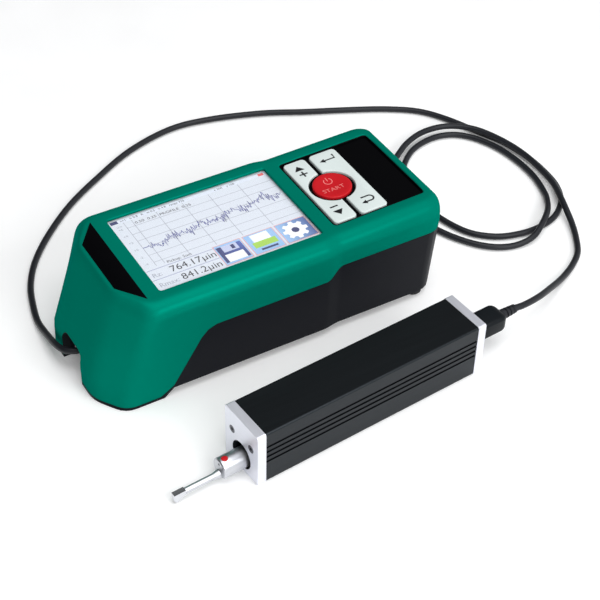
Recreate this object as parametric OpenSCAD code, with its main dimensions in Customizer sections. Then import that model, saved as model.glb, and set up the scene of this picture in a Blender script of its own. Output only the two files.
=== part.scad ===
// Surface roughness tester: a display unit, a traverse drive with a plug-in pickup, and their cable.
// Millimetres, +Z up, standing on z = 0, with the origin under the middle of the two units.

/* [Display unit] */
// Length of the display unit
tester_len = 165; // [155:1:180]
// Width of the display unit at its widest
tester_w = 72; // [68:1:84]
// Height of the rim around the screen
tester_h = 51.6; // [48:0.2:60]
// Wall of the housing shells
shell_wall = 2.4; // [1.8:0.1:3]
// Thickness of the top of the housing
top_t = 3; // [2.4:0.1:4]
// Rounding of the top edges
edge_r = 7; // [5:0.5:8]
// Plan rounding of the two right-hand corners
corner_r = 9; // [8:0.5:14]
// How far each side leans in at the floor
side_lean = 2.2; // [0:0.1:4]
// Height of the base above the floor
base_gap = 4.2; // [3:0.1:6]
// Thickness of the base
floor_t = 2.4; // [1.6:0.1:4]
// Assembly gap between fitted pieces
fit_gap = 0.1; // [0.05:0.01:0.2]

/* [Sloped left end] */
// Height at which the left end starts to slope
nose_knee = 12; // [8:0.5:18]
// Slope of the left end, run over rise
nose_lean = 0.32; // [0.2:0.01:0.4]
// Half width of the flat part of the left end at the floor
end_half = 20.3; // [18:0.1:24]
// Where the corner facets meet the sides at the floor
ridge_x = 9; // [6:0.5:12]
// Slope of that corner ridge, run over rise
ridge_lean = 0.27; // [0.2:0.01:0.35]
// Softening of the ridges between the left end, its corner facets and the sides
ridge_round = 5; // [2:0.5:6]
// Length of the feet under the left end
foot_len = 25.6; // [20:0.2:30]
// Width of the skirt that forms those feet
skirt_w = 5.4; // [4:0.1:8]
// Height of the dark lip under the upper shell
lip_h = 1.3; // [0.8:0.1:2]

/* [Waist and parting line] */
// Where the sides start to step in towards the keypad
waist_x = 104; // [100:1:108]
// Length of that step
waist_len = 8; // [6:0.5:12]
// Depth of that step on each side
waist_step = 1.2; // [0:0.1:2]
// Height of the parting line beside the screen
part_low = 32.5; // [28:0.5:35]
// Height of the parting line beside the keypad
part_high = 38; // [36:0.5:42]
// Where the sloping stretch of the parting line ends
part_x = 46; // [42:0.5:60]

/* [Cable port] */
// Width of the arch in the left end
port_w = 18.8; // [16:0.2:22]
// Height of that arch
port_h = 16; // [14:0.5:20]
// Rounding of its upper corners
port_r = 4; // [2:0.5:6]
// Depth of the port
port_depth = 34; // [30:1:40]
// Wall around the port
port_wall = 2; // [1.5:0.1:3]
// Height of the cable plug in the port
port_z = 10; // [9.9:0.1:11]

/* [Screen and badge] */
// Left edge of the screen opening
screen_x = 31; // [28:0.5:33]
// Length of the screen opening
screen_len = 76; // [70:0.5:77]
// Width of the screen opening
screen_w = 51.2; // [46:0.2:53]
// Depth of the glass below the rim
screen_recess = 1.2; // [0.8:0.1:1.6]
// Thickness of the glass
glass_t = 1; // [0.7:0.1:1.4]
// How far the glass reaches under the rim
glass_lap = 1.6; // [1:0.1:1.8]
// Thickness of the display module
lcd_t = 4; // [3:0.1:6]
// Half length of the short side of the badge plate
badge_short = 15.6; // [12:0.2:16]
// Half length of the long side of the badge plate
badge_long = 27.6; // [24:0.2:28.4]
// Gap between the badge plate and the screen
badge_gap = 6.4; // [5:0.2:8]
// Width of the badge plate
badge_w = 9; // [7:0.2:9.2]
// Thickness of the badge plate
badge_t = 0.6; // [0.4:0.1:1]

/* [Keypad] */
// Left edge of the keypad panel
panel_x = 113.6; // [112.6:0.2:114]
// Rim to the right of the keypad panel
panel_rim = 5.9; // [5.4:0.1:9.4]
// Width of the keypad panel
panel_w = 48.6; // [46:0.2:50]
// Thickness of the keypad panel
panel_t = 3.5; // [3.2:0.1:4.5]
// Upward tilt of the keypad panel to the right, in degrees
panel_tilt = 1.6; // [0:0.1:2.5]
// Depth of the panel below the rim
panel_recess = 1; // [0.6:0.1:1.4]
// How far the panel's flange reaches under the rim
panel_lap = 1; // [0.6:0.1:1.2]
// Margin of the panel around the keys
key_margin = 1.3; // [1:0.1:2]
// Width of the left rocker key
left_key_w = 11; // [9:0.2:12]
// Width of the right rocker key
right_key_w = 13.4; // [11:0.2:14]
// Web of the panel between the two rocker keys
key_web = 1.4; // [1:0.1:2.4]
// Gap around each key
key_gap = 0.35; // [0.25:0.05:0.5]
// How far the keys stand above the panel
key_proud = 0.9; // [0.5:0.1:1.4]
// Diameter of the start button
start_d = 17.4; // [15:0.2:19]
// Panel ring around the start button
start_ring = 0.9; // [0.7:0.1:1.5]
// Travel of the start button
start_travel = 0.6; // [0.3:0.05:0.8]
// Drop of the flange under each key below the panel
flange_drop = 0.8; // [0.7:0.05:1.2]
// Thickness of that flange
flange_t = 0.8; // [0.6:0.1:1.2]
// Width of that flange around the key
flange_w = 0.8; // [0.5:0.1:1.1]
// Thickness of the circuit boards
board_t = 1.6; // [1:0.1:2]
// Height of the dome switches
switch_h = 0.7; // [0.5:0.1:1]

/* [Inside the display unit] */
// Left edge of the main board
main_x = 33; // [32:0.5:34]
// Length of the main board
main_len = 75; // [60:1:76]
// Width of the main board
main_w = 54; // [46:1:56]
// Height of the main board
main_z = 32; // [28:1:36]
// Length of the battery pack
battery_len = 58; // [40:1:60]
// Width of the battery pack
battery_w = 38; // [30:1:40]
// Height of the battery pack
battery_h = 18; // [12:1:20]
// Outer radius of the screw bosses
boss_r = 3.2; // [3:0.1:3.5]
// Height at which the bosses of the two shells meet
boss_z = 34; // [31:1:36]
// Diameter of the housing screws
screw_d = 2.4; // [2:0.1:2.6]
// Diameter of the rubber feet
foot_d = 8; // [6:0.5:9]

/* [Drive unit] */
// Length of the drive unit over its end plates
drive_len = 115; // [112:1:135]
// Width of the end plates
drive_w = 23; // [22.6:0.2:27]
// Height of the end plates
drive_h = 27; // [26.6:0.2:32]
// Thickness of the end plates
plate_t = 4; // [3.6:0.2:6]
// Rounding of the end plates' corners
plate_r = 1; // [0.4:0.1:2]
// How far the end plates stand proud of the tube
plate_proud = 0.2; // [0:0.05:0.4]
// Wall of the tube at its sides
tube_wall = 2; // [1.8:0.1:2.2]
// Floor of the tube
tube_floor = 1.2; // [1:0.1:1.4]
// Number of grooves along each side of the tube
groove_count = 4; // [2:1:5]
// Width of a groove
groove_w = 1.1; // [0.6:0.1:1.6]
// Depth of a groove
groove_depth = 0.5; // [0.2:0.05:0.8]
// Spacing of the grooves
groove_pitch = 2.7; // [2:0.1:3]
// Height of the lowest groove
groove_z = 11.4; // [9:0.2:13]
// Distance of the drive unit's front from the display unit's left end
drive_ahead = 36; // [30:1:60]
// Distance between the middle lines of the two units
drive_beside = 83.7; // [75:0.1:100]
// Turn of the drive unit against the display unit, in degrees
drive_turn = 5; // [0:0.5:12]

/* [Traverse mechanism] */
// Travel of the pickup
travel = 17.5; // [10:0.5:18]
// Diameter of the guide rods
rod_d = 2.5; // [2:0.1:3]
// Distance of each guide rod from the middle
rod_y = 6.6; // [6.4:0.1:6.8]
// Height of the guide rods
rod_z = 17; // [16.4:0.1:18]
// Outer diameter of the rod bushings
bush_d = 4; // [3.8:0.1:4.2]
// Diameter of the lead screw
lead_d = 3; // [2.4:0.1:3.4]
// Height of the lead screw
lead_z = 18; // [17.6:0.1:18.4]
// Diameter of the lead screw's journals
journal_d = 2; // [1.6:0.1:2.2]
// Outer diameter of the screw bearings
bearing_d = 5; // [4.4:0.1:5.2]
// Outer diameter of the drive nut
nut_d = 6; // [5:0.1:6.2]
// Length of the carriage
carriage_len = 12; // [8:0.5:13]
// Front of the carriage, from the front of the drive
carriage_x = 24; // [23:0.5:25]
// Front of the screw bracket
bracket_x = 58; // [57:0.5:60]
// Thickness of the screw bracket and the motor bracket
bracket_t = 3.5; // [2.5:0.1:4]
// Diameter of the gear motor
motor_d = 10; // [8:0.2:10.4]
// Length of the gear motor
motor_len = 24; // [18:1:26]
// Diameter of the motor shaft
shaft_d = 1.5; // [1:0.1:1.8]
// Length of the shaft coupling
coupling_len = 7.4; // [6:0.2:8]
// Radial running clearance of shafts and rods
run_gap = 0.05; // [0.03:0.01:0.1]
// Height of the board in the drive
drive_board_z = 4.2; // [3.8:0.1:5]
// Depth of the slots that hold that board
slot_depth = 0.8; // [0.6:0.1:1]

/* [Pickup] */
// Diameter of the pickup body
pickup_d = 9; // [8:0.1:9.2]
// Height of the pickup's axis
pickup_z = 6.3; // [6.2:0.05:6.6]
// How far the pickup body stands out of the drive
pickup_out = 10.6; // [9:0.2:14]
// Diameter of the hole in the front plate
pickup_hole_d = 12.8; // [12.4:0.1:13]
// Height of that hole's axis
pickup_hole_z = 7.9; // [7.8:0.05:8.2]
// Gap between the front plate and the pickup's plug holder
holder_gap = 2.4; // [1:0.1:3]
// Diameter of the pickup's rear spigot
spigot_d = 6; // [5:0.1:6.4]
// Length of the pickup's rear spigot
spigot_len = 8; // [6:0.5:9]
// Distance of the nose tube below the pickup's axis
nose_drop = 2.8; // [2.2:0.1:2.9]
// Outer diameter of the nose tube
nose_d = 2.8; // [2.4:0.1:3]
// Bore of the nose tube
nose_bore = 1.8; // [1.4:0.1:2]
// Diameter of the nose's collar
collar_d = 4; // [3:0.1:4.4]
// Length of the nose's collar
collar_len = 2.6; // [1:0.1:4]
// Length of the nose tube in front of the pickup body
nose_len = 16; // [12:0.5:24]
// Length of the block that carries the skid
skid_len = 5.3; // [4.4:0.1:6]
// Width of that block
skid_w = 2.4; // [2.2:0.1:3]
// Height of the skid above the floor
skid_lift = 0.4; // [0.3:0.05:0.8]
// Diameter of the stylus lever
lever_d = 0.7; // [0.5:0.05:0.9]
// Diameter of the red index dot
dot_d = 2.8; // [1.6:0.1:3.2]

/* [Cable] */
// Diameter of the cable
cable_d = 3; // [2.5:0.1:3.2]
// Width of the plugs
plug_w = 11; // [9:0.2:13]
// Height of the plugs
plug_h = 8; // [7:0.2:9]
// Length of the plug at the drive
plug_len = 19.5; // [16:0.5:24]
// Rounding of the plugs' long edges
plug_r = 1.6; // [1:0.1:2]
// Rounding of the plugs' rear ends
plug_round = 3.6; // [2:0.1:4]
// Length of the plug at the display unit
port_plug_len = 16; // [12:0.5:18]
// Length of the strain reliefs
relief_len = 8; // [6:0.5:12]
// Diameter of the strain reliefs
relief_d = 5; // [4:0.1:6]

/* [Hidden] */
$fn = 64;

green = [0.00, 0.42, 0.33];
black = [0.10, 0.10, 0.12];
gloss_black = [0.02, 0.02, 0.03];
white = [0.87, 0.90, 0.88];
red = [0.86, 0.10, 0.13];
silver = [0.84, 0.85, 0.88];
steel = [0.62, 0.64, 0.67];
brass = [0.76, 0.60, 0.28];
board_green = [0.08, 0.30, 0.16];
cable_grey = [0.14, 0.15, 0.17];

// Small allowances: an overshoot for cuts and a thin film of clearance.
cut = 1;
touch = 0.01;

// Placement of the two units around the shared origin.
tester_x = -tester_len / 2;
tester_y = (drive_beside + drive_w / 2 * cos(drive_turn) - tester_w / 2) / 2;

// Levels of the display unit.
base_top = base_gap + floor_t;
step_x = foot_len + 1.35 * base_gap;
bend_x = waist_x + waist_len;
inner_r = edge_r - shell_wall;
inner_z = tester_h - top_t;
lean_top = tester_h - edge_r - 4;
nose_turn = atan2(ridge_x, tester_w / 2 - side_lean - end_half);
end_soft = 0.27;
ridge_soft = 0.23;
right_soft = 0.6;
right_lean = 2;

// Levels of the keypad, measured from the face of its panel.
key_bottom = -panel_t - flange_drop - flange_t;
fulcrum_d = 1.2;
fulcrum_z = key_bottom - 0.15;
switch_gap = 0.7;
keypad_board_z = key_bottom - switch_gap - switch_h;
panel_flange = panel_t + panel_recess - top_t;
panel_len = tester_len - panel_x - panel_rim;
key_len = panel_w - 2 * key_margin;
right_key_x = key_margin + left_key_w + key_web + 2 * key_gap;
start_x = key_margin + left_key_w + key_gap + key_web / 2;
start_bite = start_d / 2 + key_gap + start_ring + key_gap;
key_r = 2;

// Levels of the drive, measured from the front of its front plate.
tube_w = drive_w - 2 * plate_proud;
tube_h = drive_h - plate_proud;
cavity_w = tube_w - 2 * tube_wall;
cavity_top = tube_h - 1.8;
rear_x = drive_len - plate_t;
rod_seat = plate_t / 2;
holder_x = plate_t + holder_gap;
holder_d = pickup_d + 0.4;
shoulder_x = holder_x - 0.4;
motor_bracket_x = bracket_x + bracket_t + coupling_len + 2;
motor_x = motor_bracket_x + bracket_t;
plug_z = drive_h / 2;

// Places on the pickup.
nose_z = pickup_z - nose_drop;
nose_seat = 3;
skid_front = -pickup_out - nose_len - skid_len;
stylus_x = skid_front + 2;
pivot_x = -pickup_out + 6.6;
pivot_d = 1;

// Route of the cable beside the display unit, from the port to the drive's plug: it leaves the port
// towards the back, follows a wide arc and makes two turns to the right before it meets the plug.
cable_route = [
    [3.5, 0.3, 9.9], [0.4, 2, 9.6], [-1.7, 5, 9], [-2.7, 11, 7.6], [-2.5, 19, 5.2], [-1.8, 33, 2],
    [0.7, 45, 1.6], [5, 58, 1.6], [13, 72, 1.6], [26, 87, 1.6], [44, 103, 1.6], [64, 116, 1.6],
    [88, 129, 1.6], [114, 136, 1.6], [136, 134, 1.6], [162, 126, 1.6], [183, 116, 1.6],
    [203, 107, 1.6], [221, 98, 1.6], [235, 88, 1.6], [244, 75, 1.6], [252, 57, 1.6], [258, 43, 1.6],
    [261, 27, 1.6], [261, 13, 1.6], [259, 1, 1.6], [253, -10, 1.6], [242, -18, 1.6],
    [229, -20.5, 1.6], [217, -19, 1.6], [208, -15, 1.6], [200, -7, 1.6], [195, 6, 1.6],
    [193, 21, 1.6], [194, 35, 1.6], [198, 46, 1.6], [205, 54.5, 1.6], [214, 61, 1.6],
    [224, 64, 1.6], [233, 64, 1.6], [241, 60.5, 1.6], [247.5, 53, 1.6], [252.5, 41, 1.6],
    [254.5, 27, 1.6], [254, 13, 1.6], [250.5, 0, 1.8], [246, -8, 3.2], [240, -15.5, 5],
    [232, -22, 5], [224, -26, 3], [215, -26, 1.6], [206, -23, 1.6], [198, -16, 1.6],
    [191.5, -6, 1.6], [187, 5, 1.6], [184.5, 17, 1.6], [184.5, 30, 2.2], [188, 42, 3.6],
    [194.5, 51, 4.8], [203, 58, 4.8], [212.5, 64, 4.8], [223.5, 67.5, 4.8], [234.5, 67, 4.8],
    [243, 62.5, 5], [250, 54.5, 5], [255.3, 41, 5], [257.8, 27, 5], [257.6, 13, 5], [256, 1, 5],
    [252.5, -9.5, 5], [249.5, -18, 4.2], [246.5, -27, 2.4], [242, -36, 1.6], [236, -44.5, 1.6],
    [227.5, -50.8, 1.6], [217, -56.7, 3.2], [206, -62.4, 6.8], [194.5, -67.9, 10.6], [184, -71, 12.9]];

function lerp(a, b, t) = a + (b - a) * t;
function smooth(t) = t * t * (3 - 2 * t);
function arc(cx, cy, rx, ry, a0, a1, n) =
    [for (k = [0 : n]) let (a = lerp(a0, a1, k / n)) [cx + rx * cos(a), cy + ry * sin(a)]];
// Corner points of a rectangle with rounded corners, counter-clockwise.
function round_rect(x0, y0, x1, y1, r, n = 6) = concat(
    arc(x1 - r, y0 + r, r, r, -90, 0, n), arc(x1 - r, y1 - r, r, r, 0, 90, n),
    arc(x0 + r, y1 - r, r, r, 90, 180, n), arc(x0 + r, y0 + r, r, r, 180, 270, n));

// Plan outline of the housing at a height z, inset by a wall w and by the edge rounding f.
waist_steps = 4;
soft_steps = 4;
function unit(v) = v / norm(v);
function soften(a, b, c) = let (
        p = b + ridge_round * unit(a - b),
        q = b + ridge_round * unit(c - b))
    [for (k = [0 : soft_steps]) let (t = k / soft_steps) lerp(lerp(p, b, t), lerp(b, q, t), t)];
corner_steps = 5;
function rise(x) = tan(panel_tilt) * max(0, x - bend_x);
function rim_z(x) = tester_h + rise(x);
function half_w(z) = tester_w / 2 - side_lean * max(0, 1 - z / lean_top);
function end_x(z) = nose_lean * max(0, z - nose_knee);
function half_outline(z, w, f) = let (
        side = half_w(z) - w - f,
        right = tester_len - right_lean * max(0, 1 - z / lean_top),
        facet_end = [end_x(z) + w + end_soft * f, end_half - 0.065 * z - w * tan(nose_turn / 2)],
        facet_side = [ridge_x + ridge_lean * z + w * tan(45 - nose_turn / 2) + ridge_soft * f, side],
        waist = [for (k = [0 : waist_steps]) let (t = k / waist_steps)
            [waist_x + waist_len * t, side - waist_step * smooth(t)]],
        corner = arc(right - corner_r, half_w(z) - waist_step - corner_r,
            corner_r - w - right_soft * f, corner_r - w - f, 90, 0, corner_steps))
    concat(soften([facet_end[0], 0], facet_end, facet_side), soften(facet_end, facet_side, waist[0]),
        waist, corner);
// A full ring of points; lift is the share of the keypad's rise that the ring takes.
function ring(z, w, f, lift) = let (
        half = half_outline(z, w, f),
        m = len(half))
    concat([for (p = half) [p[0], p[1], z + lift * rise(p[0])]],
        [for (k = [1 : m]) let (p = half[m - k]) [p[0], -p[1], z + lift * rise(p[0])]]);
// Levels of a loft from z0 to the rounded top: each level is [height, wall, rounding inset, lift].
round_steps = 6;
function levels(z0, w, r, top) = concat(
    [for (z = [z0, nose_knee, lean_top]) [z, w, 0, 0]],
    [for (k = [0 : round_steps]) let (a = 90 * k / round_steps)
        [top - r + r * sin(a), w, r * (1 - cos(a)), sin(a)]]);

// A solid through a stack of rings, with its top folded where the keypad starts to rise.
module loft(stack) {
    rings = [for (s = stack) ring(s[0], s[1], s[2], s[3])];
    n = len(rings[0]);
    last = len(stack) - 1;
    fold = 2 * soft_steps + 2 + waist_steps;
    sides = [for (k = [0 : last - 1]) for (i = [0 : n - 1]) let (
            a = k * n + i,
            b = k * n + (i + 1) % n)
        each [[a, b, b + n], [a, b + n, a + n]]];
    top = [for (i = [0 : n - 1]) last * n + i];
    caps = [
        [for (i = [0 : n - 1]) n - 1 - i],
        concat([for (i = [0 : fold]) top[i]], [for (i = [n - 1 - fold : n - 1]) top[i]]),
        [for (i = [fold : n - 1 - fold]) top[i]]];
    polyhedron(points = [for (r = rings) each r], faces = concat(sides, caps), convexity = 6);
}
// A straight slice of the housing's plan between two heights, inset by w.
module plan_slice(z0, z1, w) {
    loft_simple([ring(z0, w, 0, 0), ring(z1, w, 0, 0)]);
}
module loft_simple(rings) {
    n = len(rings[0]);
    last = len(rings) - 1;
    sides = [for (k = [0 : last - 1]) for (i = [0 : n - 1]) let (
            a = k * n + i,
            b = k * n + (i + 1) % n)
        each [[a, b, b + n], [a, b + n, a + n]]];
    caps = [[for (i = [0 : n - 1]) n - 1 - i], [for (i = [0 : n - 1]) last * n + i]];
    polyhedron(points = [for (r = rings) each r], faces = concat(sides, caps), convexity = 4);
}

// Frames of the pieces.
module at_tester() {
    translate([tester_x, tester_y, 0]) children();
}
module at_panel() {
    at_tester() translate([panel_x, 0, rim_z(panel_x) - panel_recess])
        rotate([0, -panel_tilt, 0]) children();
}
module at_drive() {
    translate([tester_x + drive_ahead, tester_y - drive_beside, 0]) rotate([0, 0, drive_turn]) children();
}

// Extrusion of an outline drawn in X and Z, centred on Y.
module across(points, width) {
    rotate([90, 0, 0]) linear_extrude(width, center = true) polygon(points);
}
// Extrusion along +X of an outline drawn in Y and Z, starting at x.
module along(points, x, length) {
    translate([x, 0, 0]) rotate([90, 0, 90]) linear_extrude(length) polygon(points);
}
module x_cylinder(x0, x1, y, z, d) {
    translate([x0, y, z]) rotate([0, 90, 0]) cylinder(h = x1 - x0, d = d);
}
module y_cylinder(x, z, half, d) {
    translate([x, half, z]) rotate([90, 0, 0]) cylinder(h = 2 * half, d = d);
}
module mid_box(x0, x1, w, z0, z1) {
    translate([x0, -w / 2, z0]) cube([x1 - x0, w, z1 - z0]);
}

// The line on which the two shells meet, from the feet at the left to the right-hand end.
module shell_region(upper) {
    far = tester_len + 20;
    line = concat(
        [[-20, lip_h], [foot_len - 0.4, lip_h], [step_x, base_gap + lip_h],
            [part_x - 2, part_low - 5], [part_x + 1, part_low - 1.6], [part_x + 5, part_low]],
        [for (k = [0 : waist_steps]) let (t = k / waist_steps)
            [waist_x + waist_len * t, lerp(part_low, part_high, smooth(t))]],
        [[far, part_high]]);
    edge = upper ? 2 * tester_h : -20;
    across(concat(line, [[far, edge], [-20, edge]]), 2 * tester_w);
}

// Screw bosses between the shells, and the posts under the main board.
nose_boss_x = 24;
nose_boss_in = 11;
tail_boss_x = 19;
tail_boss_in = 7.2;
boss_places = [for (p = [[nose_boss_x, nose_boss_in], [tester_len - tail_boss_x, tail_boss_in]])
    for (s = [1, -1]) [p[0], s * (tester_w / 2 - p[1])]];
post_r = 3;
post_inset = 4;
post_places = [for (x = [main_x + post_inset, main_x + main_len - post_inset])
    for (s = [1, -1]) [x, s * (main_w / 2 - post_inset)]];

// Outline of the cable port, in Y and Z.
function port_outline(grow) = concat(
    [[-port_w / 2 - grow, -cut], [port_w / 2 + grow, -cut]],
    arc(port_w / 2 - port_r, port_h - port_r, port_r + grow, port_r + grow, 0, 90, 6),
    arc(port_r - port_w / 2, port_h - port_r, port_r + grow, port_r + grow, 90, 180, 6));

module top_housing() {
    glass_z = tester_h - screen_recess;
    color(green) at_tester() difference() {
        union() {
            intersection() {
                difference() {
                    loft(levels(0, 0, edge_r, tester_h));
                    loft(levels(-cut, shell_wall, inner_r, inner_z));
                }
                shell_region(true);
            }
            for (p = boss_places)
                translate([p[0], p[1], boss_z]) cylinder(h = inner_z + touch - boss_z, r = boss_r);
        }
        mid_box(screen_x, screen_x + screen_len, screen_w, inner_z - cut, tester_h + cut);
        mid_box(screen_x - glass_lap - fit_gap, screen_x + screen_len + glass_lap + fit_gap,
            screen_w + 2 * glass_lap + 2 * fit_gap, inner_z - cut, glass_z);
        translate([panel_x, 0, rim_z(panel_x) - panel_recess]) rotate([0, -panel_tilt, 0])
            translate([0, 0, -panel_t - cut]) linear_extrude(panel_t + 2 * panel_recess + 2 * cut)
                polygon(round_rect(-fit_gap, -panel_w / 2 - fit_gap,
                    panel_len + fit_gap, panel_w / 2 + fit_gap, key_r));
        badge_shape(tester_h - badge_t, badge_t + cut, fit_gap);
        along(port_outline(0), -20, 20 + port_depth);
        for (p = boss_places)
            translate([p[0], p[1], boss_z - cut])
                cylinder(h = inner_z - boss_z - 2, d = screw_d + 2 * run_gap);
    }
}

module bottom_housing() {
    inside = shell_wall + fit_gap;
    color(black) at_tester() difference() {
        union() {
            intersection() {
                difference() {
                    loft(levels(0, 0, edge_r, tester_h));
                    loft(levels(base_top, shell_wall, inner_r, inner_z));
                }
                shell_region(false);
            }
            intersection() {
                plan_slice(0, nose_knee, inside);
                mid_box(-cut, step_x + 6, 2 * tester_w, 0, base_top);
            }
            intersection() {
                loft(levels(base_gap, inside, inner_r, inner_z - fit_gap));
                along(port_outline(port_wall), -cut, port_depth + port_wall + cut);
            }
            for (p = boss_places)
                translate([p[0], p[1], base_gap]) cylinder(h = boss_z - base_gap, r = boss_r);
            for (p = post_places)
                translate([p[0], p[1], base_top - touch]) cylinder(h = main_z - base_top + touch, r = post_r);
            battery_ribs();
        }
        across([[foot_len, -cut], [step_x, base_gap], [tester_len + cut, base_gap],
            [tester_len + cut, -cut]], 2 * tester_w);
        intersection() {
            plan_slice(-cut, base_gap, skirt_w);
            mid_box(-cut, step_x + 6, 2 * tester_w, -cut, base_gap);
        }
        along(port_outline(0), -20, 20 + port_depth);
        mid_box(port_depth - cut, port_depth + port_wall + cut, socket_w + 2 * fit_gap,
            port_z - socket_h / 2 - fit_gap, port_z + socket_h / 2 + fit_gap);
        for (p = boss_places) translate([p[0], p[1], 0]) {
            cylinder(h = screw_seat, d = screw_head + 4 * fit_gap);
            cylinder(h = boss_z + cut, d = screw_d + 4 * fit_gap);
        }
        for (p = post_places) translate([p[0], p[1], main_z - board_screw_len])
            cylinder(h = board_screw_len + cut, d = screw_d + 2 * run_gap);
    }
}
screw_head = 2 * screw_d;
screw_seat = boss_z - 6;
board_screw_len = 6;
housing_screw_len = 14;
battery_gap = 4;
battery_x = main_x + post_inset + post_r + battery_gap;
module battery_ribs() {
    for (x = [battery_x - fit_gap - 2, battery_x + battery_len + fit_gap])
        mid_box(x, x + 2, battery_w - 8, base_top - touch, base_top + battery_h / 2);
}

module badge_shape(z, height, grow) {
    right = screen_x - badge_gap;
    translate([0, 0, z]) linear_extrude(height) polygon([
        [right - badge_w - grow, badge_short + grow / 2], [right - badge_w - grow, -badge_short - grow / 2],
        [right + grow, -badge_long - grow], [right + grow, badge_long + grow]]);
}
module badge_plate() {
    color(gloss_black) at_tester() badge_shape(tester_h - badge_t, badge_t - touch, 0);
}
module display_glass() {
    glass_z = tester_h - screen_recess;
    color([0.85, 0.90, 0.95, 0.4]) at_tester()
        mid_box(screen_x - glass_lap, screen_x + screen_len + glass_lap, screen_w + 2 * glass_lap,
            glass_z - glass_t, glass_z);
}
link_len = 24;
link_w = 4;
module display_module() {
    top = tester_h - screen_recess - glass_t;
    color([0.75, 0.82, 0.90]) at_tester() {
        mid_box(screen_x - glass_lap, screen_x + screen_len + glass_lap, screen_w + 2 * glass_lap,
            top - lcd_t, top);
        mid_box(screen_x + (screen_len - link_len) / 2, screen_x + (screen_len + link_len) / 2, link_w,
            main_z + board_t, top - lcd_t + touch);
    }
}

// Outline of a rocker key in the panel's frame, cut by the round button.
module key_shape(x, w, grow, bite, z, height) {
    half = key_len / 2 + grow;
    difference() {
        translate([0, 0, z]) linear_extrude(height)
            polygon(round_rect(x - grow, -half, x + w + grow, half, key_r));
        translate([start_x, 0, z - cut]) cylinder(h = height + 2 * cut, r = bite);
    }
}
module rocker_key(x, w) {
    side = x < start_x ? -1 : 1;
    edge = start_x + side * (key_web / 2 - fit_gap);
    color(white) at_panel() difference() {
        union() {
            key_shape(x, w, 0, start_bite, key_bottom, key_proud - key_bottom);
            intersection() {
                key_shape(x, w, flange_w, start_bite, key_bottom, flange_t);
                translate([side < 0 ? edge - 2 * w : edge, -panel_w, key_bottom - cut])
                    cube([2 * w, 2 * panel_w, flange_t + 2 * cut]);
            }
        }
        x_cylinder(x - 2, x + w + 2, 0, fulcrum_z, fulcrum_d + 2 * run_gap);
    }
}
module up_down_key() {
    rocker_key(key_margin, left_key_w);
}
module enter_return_key() {
    rocker_key(right_key_x, right_key_w);
}
module start_button() {
    flange_z = key_bottom;
    dish = 60;
    color(red) at_panel() translate([start_x, 0, 0]) difference() {
        union() {
            translate([0, 0, flange_z]) cylinder(h = key_proud + 0.2 - flange_z, d = start_d);
            translate([0, 0, flange_z])
                cylinder(h = -panel_t - 2 * fit_gap - flange_z, d = start_d + 2 * key_gap + start_ring);
        }
        translate([0, 0, key_proud - 0.2 + dish]) sphere(r = dish);
    }
}
module keypad_panel() {
    color(gloss_black) at_panel() difference() {
        union() {
            translate([0, 0, -panel_t]) linear_extrude(panel_t)
                polygon(round_rect(0, -panel_w / 2, panel_len, panel_w / 2, key_r));
            translate([-panel_lap, -panel_w / 2 - panel_lap, -panel_t])
                cube([panel_len + panel_lap, panel_w + 2 * panel_lap, panel_flange - touch]);
            for (p = keypad_posts) translate([p[0], p[1], keypad_board_z])
                cylinder(h = -panel_t - keypad_board_z + touch, r = 2);
        }
        for (k = [[key_margin, left_key_w], [right_key_x, right_key_w]])
            key_shape(k[0], k[1], key_gap, start_bite - key_gap, -panel_t - cut, panel_t + 2 * cut);
        translate([start_x, 0, -panel_t - cut])
            cylinder(h = panel_t + 2 * cut, r = start_d / 2 + key_gap);
    }
}
keypad_end = right_key_x + right_key_w;
keypad_post_in = 4;
keypad_posts = [for (x = [keypad_end + keypad_post_in, panel_len - keypad_post_in])
    for (s = [-1, 1]) [x, s * (panel_w / 2 - keypad_post_in)]];
fulcrums = [[key_margin, start_x - start_bite], [start_x + start_bite, keypad_end]];
module keypad_board() {
    color(board_green) at_panel() union() {
        translate([key_margin, -panel_w / 2 + 2, keypad_board_z - board_t])
            cube([panel_len - 2 * key_margin, panel_w - 4, board_t]);
        for (f = fulcrums) {
            x_cylinder(f[0] + fit_gap, f[1] - fit_gap, 0, fulcrum_z, fulcrum_d);
            mid_box(f[0] + fit_gap, f[1] - fit_gap, fulcrum_d / 2, keypad_board_z - touch, fulcrum_z);
        }
    }
}
module key_switches() {
    side = key_len / 2 - 6;
    places = [[start_x, 0], [key_margin + left_key_w / 2, side], [key_margin + left_key_w / 2, -side],
        [right_key_x + right_key_w / 2, side], [right_key_x + right_key_w / 2, -side]];
    color(steel) at_panel() for (p = places)
        translate([p[0], p[1], keypad_board_z]) cylinder(h = switch_h, d1 = 6, d2 = 3);
}

module main_board() {
    color(board_green) at_tester() difference() {
        mid_box(main_x, main_x + main_len, main_w, main_z, main_z + board_t);
        for (p = post_places) translate([p[0], p[1], main_z - cut])
            cylinder(h = board_t + 2 * cut, d = screw_d + 4 * fit_gap);
    }
}
chip_inset = 11;
chip_side = 14;
chip_w = 11;
chip_h = 1.6;
memory_gap = 8;
memory_len = 10;
memory_w = 18;
memory_h = 1.2;
driver_w = 12;
choke_gap = 6;
choke_len = 8;
choke_w = 10;
choke_h = 3;
module board_chips() {
    near = main_x + chip_inset;
    far = main_x + main_len - chip_inset;
    chips = [[near, -chip_side, chip_w, chip_w, chip_h], [near, memory_gap, memory_len, memory_w, memory_h],
        [far - driver_w, -chip_side, driver_w, driver_w, chip_h], [far - choke_len, choke_gap, choke_len, choke_w, choke_h]];
    color([0.12, 0.12, 0.13]) at_tester() for (c = chips)
        translate([c[0], c[1], main_z + board_t]) cube([c[2], c[3], c[4]]);
}
module board_screws() {
    color(steel) at_tester() for (p = post_places)
        translate([p[0], p[1], main_z + board_t]) pan_screw(board_t + board_screw_len - 0.5);
}
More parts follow.
